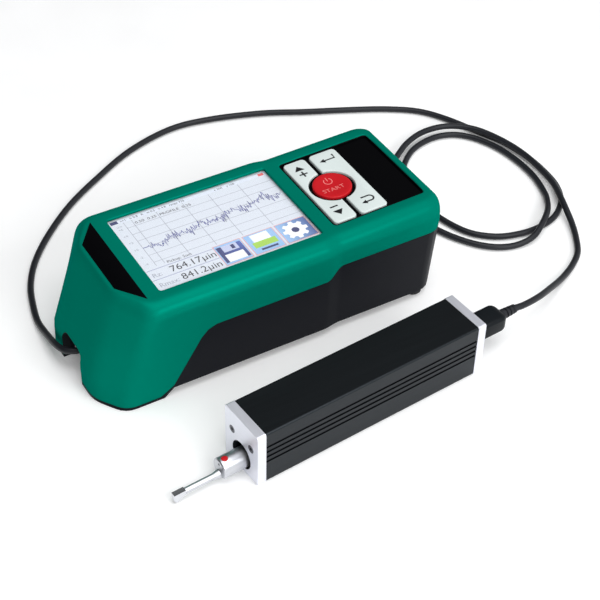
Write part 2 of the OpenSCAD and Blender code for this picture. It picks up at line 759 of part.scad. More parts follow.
// A pan-head screw that points down, with its head's underside at z = 0.
module pan_screw(length) {
    translate([0, 0, -length]) cylinder(h = length + touch, d = screw_d);
    difference() {
        cylinder(h = 0.7 * screw_d, d1 = screw_head, d2 = 0.8 * screw_head);
        translate([0, 0, 0.3 * screw_d]) cylinder(h = screw_d, d = 0.5 * screw_head, $fn = 6);
    }
}
module battery_pack() {
    wrap_r = 3;
    color([0.20, 0.30, 0.55]) at_tester()
        along(round_rect(-battery_w / 2, base_top, battery_w / 2, base_top + battery_h, wrap_r),
            battery_x, battery_len);
}
// A rectangular cable socket that opens towards -X at its mouth.
socket_depth = 7;
socket_back = 3;
shell_reach = 5;
port_mouth = port_depth - 3;
socket_wall = 1;
shell_w = 8;
shell_h = 4.6;
socket_w = shell_w + 2 * socket_wall;
socket_h = shell_h + 2 * socket_wall;
module socket_block(mouth, z) {
    difference() {
        mid_box(mouth, mouth + socket_depth + socket_back, socket_w, z - socket_h / 2, z + socket_h / 2);
        mid_box(mouth - cut, mouth + socket_depth, shell_w + 4 * fit_gap,
            z - shell_h / 2 - 2 * fit_gap, z + shell_h / 2 + 2 * fit_gap);
    }
}
module cable_socket() {
    color(black) at_tester() socket_block(port_mouth, port_z);
}
module rubber_feet() {
    color([0.06, 0.06, 0.07]) at_tester() for (s = [-1, 1])
        translate([tester_len - 10, s * (tester_w / 2 - 9), 0]) {
            cylinder(h = 0.6, d1 = foot_d - 1.2, d2 = foot_d);
            translate([0, 0, 0.6]) cylinder(h = base_gap - 0.6, d = foot_d);
        }
}
module housing_screws() {
    color(steel) at_tester() for (p = boss_places)
        translate([p[0], p[1], screw_seat]) mirror([0, 0, 1]) pan_screw(housing_screw_len);
}

// The drive's extruded tube, with grooves along its sides and slots for its board.
module drive_housing() {
    groove_top = groove_z + groove_pitch * (groove_count - 1);
    color(black) at_drive() difference() {
        along(round_rect(-tube_w / 2, 0, tube_w / 2, tube_h, 0.8), plate_t, rear_x - plate_t);
        along(round_rect(-cavity_w / 2, tube_floor, cavity_w / 2, cavity_top, 0.5),
            plate_t - cut, drive_len);
        for (s = [-1, 1]) for (z = [groove_z : groove_pitch : groove_top + touch])
            translate([plate_t - cut, s * tube_w / 2 - groove_depth, z - groove_w / 2])
                cube([drive_len, 2 * groove_depth, groove_w]);
        mid_box(plate_t - cut, drive_len, cavity_w + 2 * slot_depth,
            drive_board_z - fit_gap, drive_board_z + board_t + fit_gap);
    }
}
module end_plate(x) {
    along(round_rect(-drive_w / 2, 0, drive_w / 2, drive_h, plate_r), x, plate_t);
}
tap_d = 1.5;
countersink_d = 3.6;
module front_plate() {
    color(silver) at_drive() difference() {
        end_plate(0);
        x_cylinder(-cut, plate_t + cut, 0, pickup_hole_z, pickup_hole_d);
        for (s = [-1, 1]) {
            x_cylinder(plate_t - rod_seat, plate_t + cut, s * rod_y, rod_z, rod_d + 2 * run_gap);
            x_cylinder(-cut, plate_t, s * rod_y, rod_z, tap_d + 4 * fit_gap);
            translate([-touch, s * rod_y, rod_z]) rotate([0, 90, 0])
                cylinder(h = 1.1, d1 = countersink_d + 2 * fit_gap, d2 = tap_d + 4 * fit_gap);
        }
        x_cylinder(plate_t - rod_seat, plate_t + cut, 0, lead_z, bearing_d + 2 * run_gap);
    }
}
module rear_plate() {
    color(silver) at_drive() difference() {
        end_plate(rear_x);
        mid_box(rear_x - cut, drive_len + cut, shell_w + 4 * fit_gap,
            plug_z - shell_h / 2 - 2 * fit_gap, plug_z + shell_h / 2 + 2 * fit_gap);
        for (s = [-1, 1]) {
            x_cylinder(rear_x - cut, rear_x + rod_seat, s * rod_y, rod_z, rod_d + 2 * run_gap);
            x_cylinder(rear_x, drive_len + cut, s * rod_y, rod_z, tap_d + 4 * fit_gap);
            translate([drive_len + touch, s * rod_y, rod_z]) rotate([0, -90, 0])
                cylinder(h = 1.1, d1 = countersink_d + 2 * fit_gap, d2 = tap_d + 4 * fit_gap);
        }
    }
}
// Countersunk screws that hold the end plates on the guide rods.
module plate_screws() {
    reach = rod_seat + 4;
    color(steel) at_drive() for (s = [-1, 1]) {
        translate([0, s * rod_y, rod_z]) rotate([0, 90, 0]) countersunk(reach);
        translate([drive_len, s * rod_y, rod_z]) rotate([0, -90, 0]) countersunk(reach);
    }
}
module countersunk(length) {
    difference() {
        union() {
            cylinder(h = 1, d1 = countersink_d, d2 = tap_d);
            cylinder(h = length, d = tap_d);
        }
        translate([0, 0, -touch]) cylinder(h = 0.5, d = tap_d, $fn = 6);
    }
}
module guide_rods() {
    color(steel) at_drive() for (s = [-1, 1]) difference() {
        x_cylinder(plate_t - rod_seat, rear_x + rod_seat, s * rod_y, rod_z, rod_d);
        for (x = [plate_t - rod_seat - cut, rear_x + rod_seat - 5])
            x_cylinder(x, x + 5 + cut, s * rod_y, rod_z, tap_d + 2 * run_gap);
    }
}
// A plate that hangs on both guide rods, with one bore on the lead screw's axis.
module rod_bracket(x, bore) {
    low = lead_z - motor_d / 2 - 1.6;
    difference() {
        along(round_rect(-cavity_w / 2 + fit_gap, low, cavity_w / 2 - fit_gap, cavity_top - fit_gap, 1),
            x, bracket_t);
        for (s = [-1, 1]) x_cylinder(x - cut, x + bracket_t + cut, s * rod_y, rod_z, rod_d + 2 * run_gap);
        x_cylinder(x - cut, x + bracket_t + cut, 0, lead_z, bore);
    }
}
motor_boss_d = 4;
module screw_bracket() {
    color(silver) at_drive() rod_bracket(bracket_x, bearing_d + 2 * run_gap);
}
module motor_bracket() {
    color(silver) at_drive() rod_bracket(motor_bracket_x, motor_boss_d + 2 * run_gap);
}
module screw_bearings() {
    color(steel) at_drive() for (x = [plate_t - rod_seat, bracket_x]) {
        width = x < bracket_x ? rod_seat : bracket_t;
        difference() {
            x_cylinder(x, x + width, 0, lead_z, bearing_d);
            x_cylinder(x - cut, x + width + cut, 0, lead_z, journal_d + 2 * run_gap);
        }
    }
}
coupling_x = bracket_x + bracket_t + 1;
module lead_screw() {
    color(steel) at_drive() {
        x_cylinder(plate_t - rod_seat + fit_gap, coupling_x + coupling_len / 2, 0, lead_z, journal_d);
        x_cylinder(plate_t + 4 * fit_gap, bracket_x - 4 * fit_gap, 0, lead_z, lead_d);
    }
}
module shaft_coupling() {
    color(brass) at_drive() difference() {
        x_cylinder(coupling_x, coupling_x + coupling_len, 0, lead_z, nut_d);
        x_cylinder(coupling_x - cut, coupling_x + coupling_len / 2, 0, lead_z, journal_d);
        x_cylinder(coupling_x + coupling_len / 2 - touch, coupling_x + coupling_len + cut, 0, lead_z, shaft_d);
        translate([coupling_x + coupling_len / 4, 0, lead_z]) cylinder(h = nut_d, d = 1.2);
    }
}
shaft_in = 4;
module motor_shaft() {
    color(steel) at_drive()
        x_cylinder(coupling_x + coupling_len / 2, motor_x + shaft_in, 0, lead_z, shaft_d);
}
module gear_motor() {
    color(silver) at_drive() difference() {
        union() {
            x_cylinder(motor_bracket_x, motor_x, 0, lead_z, motor_boss_d);
            x_cylinder(motor_x, motor_x + motor_len, 0, lead_z, motor_d);
        }
        x_cylinder(motor_bracket_x - cut, motor_x + shaft_in + fit_gap, 0, lead_z, shaft_d + 2 * run_gap);
        difference() {
            x_cylinder(motor_x + motor_len / 2, motor_x + motor_len / 2 + 0.6, 0, lead_z, motor_d + cut);
            x_cylinder(motor_x + motor_len / 2 - cut, motor_x + motor_len / 2 + cut, 0, lead_z, motor_d - 0.8);
        }
    }
}
module drive_board() {
    start = motor_bracket_x - 6;
    color(board_green) at_drive() union() {
        mid_box(start, rear_x - fit_gap, cavity_w + 2 * slot_depth - 2 * fit_gap,
            drive_board_z, drive_board_z + board_t);
        mid_box(start + 8, start + 18, 9, drive_board_z + board_t - touch, drive_board_z + board_t + 1.4);
    }
}
module drive_socket() {
    block_x = rear_x - socket_depth - socket_back;
    color(black) at_drive() union() {
        mirror([1, 0, 0]) translate([-rear_x, 0, 0]) socket_block(0, plug_z);
        mid_box(block_x, rear_x - 2, socket_w - 2, drive_board_z + board_t, plug_z - socket_h / 2 + touch);
    }
}

// The carriage that the lead screw pulls along the guide rods.
module carriage() {
    top = lead_z + nut_d / 2 + 1;
    low = rod_z - bush_d / 2 - 2;
    width = 2 * rod_y + bush_d + 1;
    color(steel) at_drive() difference() {
        union() {
            along(round_rect(-width / 2, low, width / 2, top, 0.8), carriage_x, carriage_len);
            mid_box(carriage_x, carriage_x + carriage_len, holder_d, pickup_z, low + touch);
            x_cylinder(carriage_x, carriage_x + carriage_len, 0, pickup_z, holder_d);
        }
        for (s = [-1, 1])
            x_cylinder(carriage_x - cut, carriage_x + carriage_len + cut, s * rod_y, rod_z, bush_d);
        x_cylinder(carriage_x - cut, carriage_x + carriage_len + cut, 0, lead_z, nut_d);
    }
}
module rod_bushings() {
    color(brass) at_drive() for (s = [-1, 1]) difference() {
        x_cylinder(carriage_x, carriage_x + carriage_len, s * rod_y, rod_z, bush_d);
        x_cylinder(carriage_x - cut, carriage_x + carriage_len + cut, s * rod_y, rod_z, rod_d + 2 * run_gap);
    }
}
module drive_nut() {
    color(brass) at_drive() difference() {
        x_cylinder(carriage_x, carriage_x + carriage_len, 0, lead_z, nut_d);
        x_cylinder(carriage_x - cut, carriage_x + carriage_len + cut, 0, lead_z, lead_d + 2 * run_gap);
    }
}
pin_len = 2;
module pickup_holder() {
    color([0.16, 0.17, 0.19]) at_drive() difference() {
        x_cylinder(holder_x, carriage_x, 0, pickup_z, holder_d);
        x_cylinder(holder_x - cut, shoulder_x + spigot_len + pin_len, 0, pickup_z, spigot_d + 2 * run_gap);
    }
}
module contact_pins() {
    end = shoulder_x + spigot_len + pin_len;
    circle_r = spigot_d / 4;
    color(brass) at_drive() for (a = [45 : 90 : 315])
        x_cylinder(end - pin_len + 0.4, end, circle_r * cos(a), pickup_z + circle_r * sin(a), 0.7);
}

// The pickup: a turned body with a nose tube, a skid and a balanced stylus lever.
module pickup_body() {
    r = pickup_d / 2;
    edge = 0.4;
    color(silver) at_drive() difference() {
        translate([-pickup_out, 0, pickup_z]) rotate([0, 90, 0]) rotate_extrude() polygon([
            [0, 0], [r - edge, 0], [r, edge], [r, pickup_out + shoulder_x - edge],
            [r - edge, pickup_out + shoulder_x], [spigot_d / 2, pickup_out + shoulder_x],
            [spigot_d / 2, pickup_out + shoulder_x + spigot_len], [0, pickup_out + shoulder_x + spigot_len]]);
        x_cylinder(-pickup_out - cut, -pickup_out + nose_seat, 0, nose_z, nose_d + 2 * run_gap);
        x_cylinder(-pickup_out + nose_seat - touch, pivot_x + 3, 0, nose_z, coil_d);
        y_cylinder(pivot_x, nose_z, pivot_half, pivot_d + 2 * run_gap);
        translate([dot_x, 0, pickup_z + r - dot_depth]) cylinder(h = r, d = dot_d + 2 * run_gap);
        x_cylinder(-pickup_out - cut, -pickup_out + zero_len + 0.3, 0, zero_z, zero_d + 2 * run_gap);
    }
}
coil_d = 2.4;
pivot_half = 3.2;
dot_x = -pickup_out + 2.6;
dot_depth = 0.5;
zero_d = 1;
zero_len = 3;
zero_z = pickup_z + 2.4;
module index_dot() {
    color(red) at_drive() intersection() {
        translate([dot_x, 0, pickup_z + pickup_d / 2 - dot_depth]) cylinder(h = dot_depth, d = dot_d);
        x_cylinder(dot_x - dot_d, dot_x + dot_d, 0, pickup_z, pickup_d);
    }
}
module zero_screw() {
    color(steel) at_drive() difference() {
        x_cylinder(-pickup_out + 0.3, -pickup_out + zero_len + 0.3, 0, zero_z, zero_d);
        translate([-pickup_out, -zero_d, zero_z - 0.12]) cube([0.6, 2 * zero_d, 0.24]);
    }
}
module pickup_nose() {
    color(silver) at_drive() difference() {
        union() {
            x_cylinder(-pickup_out - nose_len, -pickup_out + nose_seat - fit_gap, 0, nose_z, nose_d);
            translate([-pickup_out - fit_gap, 0, nose_z]) rotate([0, -90, 0])
                cylinder(h = collar_len, d1 = collar_d, d2 = nose_d);
        }
        x_cylinder(-pickup_out - nose_len - cut, -pickup_out + nose_seat, 0, nose_z, nose_bore);
    }
}
// The block at the nose's end, with a rounded foot that the stylus looks out of.
module skid() {
    rear = skid_front + skid_len;
    block_low = nose_z - nose_d / 2 + 0.3;
    toe_r = 1.1;
    color(steel) at_drive() difference() {
        union() {
            mid_box(skid_front, rear, skid_w, block_low, nose_z + nose_d / 2);
            across(concat([[rear - 1, block_low + touch], [skid_front, block_low + touch]],
                arc(stylus_x - 0.4, skid_lift + toe_r, toe_r + 0.4, toe_r, 190, 290, 6)), skid_w - 0.4);
        }
        translate([stylus_x, 0, 0]) cylinder(h = nose_z, d = lever_d + 0.4);
        x_cylinder(stylus_x - 0.9, rear + cut, 0, nose_z, nose_bore);
    }
}
module lever_pivot() {
    color(steel) at_drive() y_cylinder(pivot_x, nose_z, pivot_half - fit_gap, pivot_d);
}
module sensor_coil() {
    color(brass) at_drive() difference() {
        x_cylinder(pivot_x + 1.3, pivot_x + 2.9, 0, nose_z, coil_d - 2 * run_gap);
        x_cylinder(pivot_x, pivot_x + 4, 0, nose_z, lever_d + 0.5);
    }
}
hub_d = 2;
tip_len = 0.3;
tip_drop = 0.1;
module stylus_lever() {
    tip_top = skid_lift - tip_drop + tip_len;
    color(steel) at_drive() difference() {
        union() {
            x_cylinder(stylus_x, pivot_x + 2.6, 0, nose_z, lever_d);
            y_cylinder(pivot_x, nose_z, lever_d, hub_d);
            translate([stylus_x, 0, tip_top]) cylinder(h = nose_z - tip_top, d = lever_d - 0.1);
        }
        y_cylinder(pivot_x, nose_z, 2, pivot_d + 2 * run_gap);
    }
}
module stylus_tip() {
    color([0.15, 0.15, 0.18]) at_drive() translate([stylus_x, 0, skid_lift - tip_drop])
        cylinder(h = tip_len, d1 = 0.06, d2 = lever_d - 0.1);
}

// A moulded cable plug along +X: its metal shell and its grip, which is rounded at the rear.
module plug(length, z, reach) {
    steps = 5;
    narrow = plug_round * plug_h / plug_w;
    along(round_rect(-shell_w / 2, z - shell_h / 2, shell_w / 2, z + shell_h / 2, 0.6),
        -reach, reach + touch);
    slices = concat([[0, 0]], [for (k = [0 : steps]) let (a = 75 * k / steps)
        [length - plug_round * (1 - sin(a) / sin(75)), 1 - cos(a)]]);
    loft_simple([for (s = slices) [for (p = round_rect(
            s[1] * plug_round - plug_w / 2, z + s[1] * narrow - plug_h / 2,
            plug_w / 2 - s[1] * plug_round, z + plug_h / 2 - s[1] * narrow, plug_r)) [s[0], -p[0], p[1]]]]);
}
module relief(x, z) {
    translate([x, 0, z]) rotate([0, 90, 0]) difference() {
        cylinder(h = relief_len, d1 = relief_d, d2 = cable_d + 1);
        for (k = [1 : 3]) translate([0, 0, relief_len * k / 4]) difference() {
            cylinder(h = 0.8, d = 2 * relief_d);
            translate([0, 0, -cut]) cylinder(h = 3, d = cable_d + 0.6);
        }
    }
}
module drive_plug() {
    color(black) at_drive() translate([drive_len, 0, 0]) plug(plug_len, plug_z, plate_t + shell_reach);
}
module drive_relief() {
    color(black) at_drive() relief(drive_len + plug_len, plug_z);
}
module port_plug() {
    color(black) at_tester() translate([port_mouth, 0, 0]) mirror([1, 0, 0])
        plug(port_plug_len, port_z, shell_reach);
}
module port_relief() {
    color(black) at_tester() translate([port_mouth, 0, 0]) mirror([1, 0, 0]) relief(port_plug_len, port_z);
}

// The cable: an eight-sided tube swept along its route, from one strain relief to the other.
function on_drive(x, z) = [drive_ahead + x * cos(drive_turn), -drive_beside + x * sin(drive_turn), z];
module cable() {
    sides = 8;
    start = [port_mouth - port_plug_len - relief_len, 0, port_z];
    end_a = drive_len + plug_len + relief_len;
    path = concat([start], cable_route, [on_drive(end_a, plug_z)]);
    n = len(path);
    function ahead(k) = k == 0 ? [-1, 0, 0]
        : k == n - 1 ? [-cos(drive_turn), -sin(drive_turn), 0]
        : unit(path[k + 1] - path[k - 1]);
    function hoop(k) = let (
            t = ahead(k),
            s = unit(cross([0, 0, 1], t)),
            u = cross(t, s))
        [for (i = [0 : sides - 1]) let (a = 360 * i / sides)
            path[k] + cable_d / 2 * (cos(a) * s + sin(a) * u)];
    points = [for (k = [0 : n - 1]) each hoop(k)];
    walls = [for (k = [0 : n - 2]) for (i = [0 : sides - 1]) let (
            a = k * sides + i,
            b = k * sides + (i + 1) % sides)
        each [[a, b + sides, b], [a, a + sides, b + sides]]];
    ends = [[for (i = [0 : sides - 1]) i], [for (i = [0 : sides - 1]) n * sides - 1 - i]];
    color(cable_grey) at_tester() polyhedron(points = points, faces = concat(walls, ends), convexity = 8);
}

top_housing();
bottom_housing();
badge_plate();
display_glass();
display_module();
keypad_panel();
up_down_key();
enter_return_key();
start_button();
keypad_board();
key_switches();
main_board();
board_chips();
board_screws();
battery_pack();
cable_socket();
rubber_feet();
housing_screws();
drive_housing();
front_plate();
rear_plate();
plate_screws();
guide_rods();
screw_bracket();
motor_bracket();
screw_bearings();
lead_screw();
shaft_coupling();
motor_shaft();
gear_motor();
drive_board();
drive_socket();
carriage();
rod_bushings();
drive_nut();
pickup_holder();
contact_pins();
pickup_body();
index_dot();
zero_screw();
pickup_nose();
skid();
lever_pivot();
sensor_coil();
stylus_lever();
stylus_tip();
drive_plug();
drive_relief();
port_plug();
port_relief();
cable();
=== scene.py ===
"""Looks of a surface roughness tester: its cable, upper shell, keys, screen picture and finishes.

Lengths are in millimetres up to the last step, which turns them into metres. The display unit's own
frame has x from its sloped end to its keypad, y from its middle line to its back and z up from the
table. The drive's frame has x from the face of its front plate to its rear plug.
"""
from itertools import chain

import bpy
import numpy as np
from mathutils import Matrix


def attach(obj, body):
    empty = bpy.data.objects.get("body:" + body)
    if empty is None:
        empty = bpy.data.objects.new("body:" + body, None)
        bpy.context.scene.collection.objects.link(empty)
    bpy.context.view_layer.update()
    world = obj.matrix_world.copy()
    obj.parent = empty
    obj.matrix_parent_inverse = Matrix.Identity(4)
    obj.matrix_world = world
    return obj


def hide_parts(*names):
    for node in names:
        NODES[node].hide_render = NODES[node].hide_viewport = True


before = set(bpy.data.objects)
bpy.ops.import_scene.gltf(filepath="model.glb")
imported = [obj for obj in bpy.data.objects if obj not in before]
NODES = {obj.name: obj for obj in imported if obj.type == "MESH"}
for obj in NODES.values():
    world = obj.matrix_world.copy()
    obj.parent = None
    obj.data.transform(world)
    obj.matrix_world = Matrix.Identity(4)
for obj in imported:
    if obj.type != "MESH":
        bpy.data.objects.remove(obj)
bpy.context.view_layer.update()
MM = 0.001
JOIN = 0.002 * MM

# Where the two units stand around the shared origin.
LENGTH, WIDTH, HEIGHT = 165.0, 72.0, 51.6
DRIVE_AHEAD, DRIVE_BESIDE, DRIVE_TURN, DRIVE_W = 36.0, 83.7, np.radians(5.0), 23.0
TESTER_AT = np.array([-LENGTH / 2, (DRIVE_BESIDE + DRIVE_W / 2 * np.cos(DRIVE_TURN) - WIDTH / 2) / 2, 0.0])

# The display unit's shells: edges, walls, sloped end with corner ridges, waist, parting line, cable port.
EDGE_R, CORNER_R, WALL, DECK_T, LIP_SOFT = 7.0, 9.0, 2.4, 1.2, 0.3
SIDE_LEAN, RIGHT_LEAN, LEAN_TOP = 2.2, 2.0, HEIGHT - EDGE_R - 4
KNEE, NOSE_LEAN, END_HALF, END_TAPER = 12.0, 0.32, 20.3, 0.065
RIDGE_X, RIDGE_LEAN, RIDGE_ROUND = 9.0, 0.27, 5.0
NOSE_TURN = np.arctan2(RIDGE_X, WIDTH / 2 - SIDE_LEAN - END_HALF)
END_SOFT, RIDGE_SOFT, RIGHT_SOFT = 0.27, 0.23, 0.6
WAIST_X, WAIST_LEN, WAIST_STEP = 104.0, 8.0, 1.2
BEND_X = WAIST_X + WAIST_LEN
PART_LOW, PART_HIGH, PART_X, LIP_H = 32.5, 38.0, 46.0, 1.3
FOOT_LEN, BASE_GAP, BASE_SLOPE = 25.6, 4.2, 1.35
STEP_X = FOOT_LEN + BASE_SLOPE * BASE_GAP
PORT_W, PORT_H, PORT_R, PORT_Z, PORT_MOUTH = 18.8, 16.0, 4.0, 10.0, 31.0
SCREEN_X, SCREEN_LEN, SCREEN_W, SCREEN_RECESS, PANE_T, PANE_UNDER = 31.0, 76.0, 51.2, 1.2, 1.0, 1.6
BADGE_SHORT, BADGE_LONG, BADGE_GAP, BADGE_W = 15.6, 27.6, 6.4, 9.0

# The keypad, in the panel's own frame: u to the right, v to the back, n out of the panel.
PANEL_X, PANEL_LEN, PANEL_W, PANEL_RECESS, PANEL_TILT = 113.6, 45.5, 48.6, 1.0, np.radians(1.6)
KEY_MARGIN, LEFT_KEY_W, RIGHT_KEY_W, KEY_WEB, KEY_GAP, KEY_R = 1.3, 11.0, 13.4, 1.4, 0.35, 2.0
KEY_HALF = PANEL_W / 2 - KEY_MARGIN
KEY_TOP, KEY_FOOT, KEY_ROLL = 0.9, -4.9, 0.55
START_D, START_RING, START_ROLL, START_SIDE, START_RIM, START_TOP = 17.4, 0.9, 0.5, 0.65, 1.6, 1.1
START_U = KEY_MARGIN + LEFT_KEY_W + KEY_GAP + KEY_WEB / 2
RIGHT_KEY_U = KEY_MARGIN + LEFT_KEY_W + KEY_WEB + 2 * KEY_GAP
BITE_R = START_D / 2 + 2 * KEY_GAP + START_RING
DISH_R, DISH_LOW = 60.0, 0.7
RIM_W, RIM_H, RIM_FOOT = 0.5, 0.85, -0.3

# The drive's two ends: the cable and its plugs at the rear, the pickup in the front plate's hole.
DRIVE_LEN, PLATE_T, CABLE_D = 115.0, 4.0, 3.0
PLUG_LEN, RELIEF_LEN, PORT_PLUG_LEN, PLUG_Z = 19.5, 8.0, 16.0, 13.5
PLUG_W, PLUG_H, PLUG_R, PLUG_ROUND, PLUG_ARC = 11.0, 8.0, 1.6, 3.6, 75.0
PLUG_BEVEL, PLUG_BEVEL_LEN = 0.25, 0.3
PLUG_SHELL_W, PLUG_SHELL_H, PLUG_SHELL_R, PLUG_SHELL_REACH = 8.0, 4.6, 0.6, 5.0
PICKUP_D, PICKUP_Z, PICKUP_OUT, DOT_D, DOT_BEHIND = 9.0, 6.3, 10.6, 2.8, 2.6
# Thickness and gap of the thin black sheets laid in the bore and the cable port as painted shade.
HOLE_D, HOLE_Z, SHADE_SHEET_T, SHADE_SHEET_GAP = 12.8, 7.9, 0.08, 0.02


def rise(x):
    """Lift of the top to the right of the fold: a plane tilted by the keypad's angle."""
    return np.tan(PANEL_TILT) * np.maximum(0.0, x - BEND_X)


def from_tester(points):
    """Display unit's frame to the row frame: a plain shift."""
    return np.asarray(points, float) + TESTER_AT


def swing(points, axis, angle):
    """Points turned about the origin by an angle, from x towards another axis."""
    p = np.array(points, float)
    x, other = p[..., 0].copy(), p[..., axis].copy()
    p[..., 0] = np.cos(angle) * x - np.sin(angle) * other
    p[..., axis] = np.sin(angle) * x + np.cos(angle) * other
    return p


def from_drive(points):
    """Drive's frame to the row frame: a turn about z, then a shift to the front plate's face."""
    return from_tester(swing(points, 1, DRIVE_TURN) + [DRIVE_AHEAD, -DRIVE_BESIDE, 0.0])


def from_panel(points):
    """Keypad's frame to the row frame: a tilt about y, then a shift to the panel's left edge."""
    edge = [PANEL_X, 0.0, HEIGHT + rise(PANEL_X) - PANEL_RECESS]
    return from_tester(swing(points, 2, PANEL_TILT) + edge)


def unit(v):
    """Vectors brought to length 1."""
    return v / np.linalg.norm(v, axis=-1, keepdims=True)


# Camera and light

CAMERA_AT = from_tester([-150.04, -431.9, 443.79])
CAMERA_YAW, CAMERA_PITCH, CAMERA_ROLL = np.radians([31.25, 41.85, 1.43])
CAMERA_LENS, CAMERA_SENSOR, CAMERA_NEAR = 88.73, 36.0, 0.02

# The room is brightest towards one side, and fades with the direction's share of that side.
BRIGHT_SIDE, BRIGHT_SPAN = (0.55, -0.80, 0.25), (-0.35, 0.7)
ROOM_STRENGTH, ROOM_COLOUR = (0.08, 0.75), (0.97, 0.985, 1.0)
# Each light's place and size in metres, and its power in watts.
LIGHTS = {"overhead": ((0.05, -0.1, 1.0), 0.8, 5.6), "front_key": ((0.32, -0.80, 0.66), 0.38, 2.6),
          "left_key": ((-0.03, -0.62, 0.44), 0.4, 1.2)}
# Share of z in its direction from which a light counts as overhead.
OVERHEAD = 0.99
FLOOR_HALF, FLOOR_DROP, FLOOR_GLOW = 4.0, 0.0002, 0.14


def new_object(name, data):
    """A new object for the data, linked into the scene."""
    thing = bpy.data.objects.new(name, data)
    bpy.context.collection.objects.link(thing)
    return thing


def stand(thing, right, up, back, at):
    """Stands a camera or a light: its three axes and its place are the columns of its matrix."""
    columns = np.eye(4)
    columns[:3] = np.stack([right, up, back, at], 1)
    thing.matrix_world = Matrix(columns.tolist())


def add_camera():
    """A camera whose axes come from a yaw about z, a pitch downwards and a small roll."""
    level = np.array([np.cos(CAMERA_YAW), -np.sin(CAMERA_YAW), 0.0])
    ahead = np.array([np.sin(CAMERA_YAW), np.cos(CAMERA_YAW), 0.0])
    forward = ahead * np.cos(CAMERA_PITCH) - [0.0, 0.0, np.sin(CAMERA_PITCH)]
    upright = np.cross(level, forward)
    right = level * np.cos(CAMERA_ROLL) + upright * np.sin(CAMERA_ROLL)
    up = upright * np.cos(CAMERA_ROLL) - level * np.sin(CAMERA_ROLL)
    data = bpy.data.cameras.new("camera")
    data.lens, data.sensor_width, data.clip_start = CAMERA_LENS, CAMERA_SENSOR, CAMERA_NEAR
    camera = new_object("camera", data)
    stand(camera, right, up, -forward, CAMERA_AT * MM)
    bpy.context.scene.camera = camera


def add_soft_light(name, at, size, watts):
    """A square area light that faces the origin; one nearly overhead keeps its side along x."""
    data = bpy.data.lights.new(name, "AREA")
    data.shape, data.size, data.energy = "SQUARE", size, watts
    back = unit(np.array(at))
    side = unit(np.cross([0.0, 0.0, 1.0], back)) if back[2] < OVERHEAD else [1.0, 0.0, 0.0]
    stand(new_object(name, data), side, np.cross(back, side), back, at)


def add_studio():
    """A pale floor in a room that is white at the right front and dim elsewhere, with three soft lights."""
    world = bpy.data.worlds.new("studio_room")
    world.use_nodes = True
    room = world.node_tree.nodes["Background"]
    set_values(room, Color=(*ROOM_COLOUR, 1.0))
    toward = new_node(room, "ShaderNodeVectorMath")
    toward.operation = "DOT_PRODUCT"
    toward.inputs[1].default_value = BRIGHT_SIDE
    link(new_node(room, "ShaderNodeTexCoord"), "Generated", toward, 0)
    fade = put_span(toward, "Value", BRIGHT_SPAN, ROOM_STRENGTH, room, "Strength")
    fade.interpolation_type = "SMOOTHSTEP"
    bpy.context.scene.world = world
    bpy.context.scene.view_settings.view_transform = "Standard"
    for name, values in LIGHTS.items():
        add_soft_light(name, *values)
    corners = np.array([[-1.0, -1.0], [1.0, -1.0], [1.0, 1.0], [-1.0, 1.0]]) * FLOOR_HALF
    mesh = bpy.data.meshes.new("floor")
    mesh.from_pydata(at_height(corners, -FLOOR_DROP).tolist(), [], [[0, 1, 2, 3]])
    floor = new_object("floor", mesh)
    paper = plain_finish("floor_paper", (0.93, 0.93, 0.93), 0.75, 2.0, 0.02)
    set_values(paper.node_tree.nodes["Principled BSDF"], Emission_Color=(1.0, 1.0, 1.0, 1.0),
               Emission_Strength=FLOOR_GLOW)
    mesh.materials.append(paper)


# Finishes

NOISE_SPAN = (0.3, 0.7)
DRIFT_CELLS, HAZE_CELLS, RASTER_CELLS = 25.0, 60.0, 4000.0


def set_values(node, **values):
    """Values on a node's own sockets; an underscore stands for a space in a socket's name."""
    for name, value in values.items():
        node.inputs[name.replace("_", " ")].default_value = value


def new_node(beside, kind, **values):
    """A new node in the tree of another one, with its values."""
    node = beside.id_data.nodes.new(kind)
    set_values(node, **values)
    return node


def link(source, output, target, socket):
    """Links an output of one node to a socket of another."""
    target.id_data.links.new(source.outputs[output], target.inputs[socket])


def start_finish(name):
    """A new node material and its shader."""
    material = bpy.data.materials.new(name)
    material.use_nodes = True
    return material, material.node_tree.nodes["Principled BSDF"]


def put_noise(shader, stretch, detail=3.0):
    """Noise on Object coordinates; stretch is its cells per metre along x, y and z."""
    mapping = new_node(shader, "ShaderNodeMapping", Scale=stretch)
    noise = new_node(shader, "ShaderNodeTexNoise", Scale=1.0, Detail=detail)
    link(new_node(shader, "ShaderNodeTexCoord"), "Object", mapping, "Vector")
    link(mapping, "Vector", noise, "Vector")
    return noise


def put_span(source, output, before, after, target, socket):
    """A link through a node that maps the span before onto the span after."""
    span = new_node(target, "ShaderNodeMapRange", From_Min=before[0], From_Max=before[1],
                    To_Min=after[0], To_Max=after[1])
    link(source, output, span, "Value")
    link(span, "Result", target, socket)
    return span


def vary_gloss(shader, noise, roughness, by):
    """Roughness that goes with the noise, from a little less to a little more than its mean."""
    put_span(noise, "Fac", NOISE_SPAN, (roughness - by, roughness + by), shader, "Roughness")


def vary_colour(shader, noise, colour, share):
    """Base colour that goes with the noise, from a share darker to a share lighter than its mean."""
    mix = new_node(shader, "ShaderNodeMix")
    mix.data_type = "RGBA"
    set_values(mix, A=(*(c * (1 - share) for c in colour), 1.0),
               B=(*(min(1.0, c * (1 + share)) for c in colour), 1.0))
    link(noise, "Fac", mix, "Factor")
    link(mix, "Result", shader, "Base Color")


def emboss(shader, noise, depth_mm):
    """A bump from the noise onto the shader's normal."""
    bump = new_node(shader, "ShaderNodeBump", Strength=1.0, Distance=depth_mm * MM)
    link(noise, "Fac", bump, "Height")
    link(bump, "Normal", shader, "Normal")


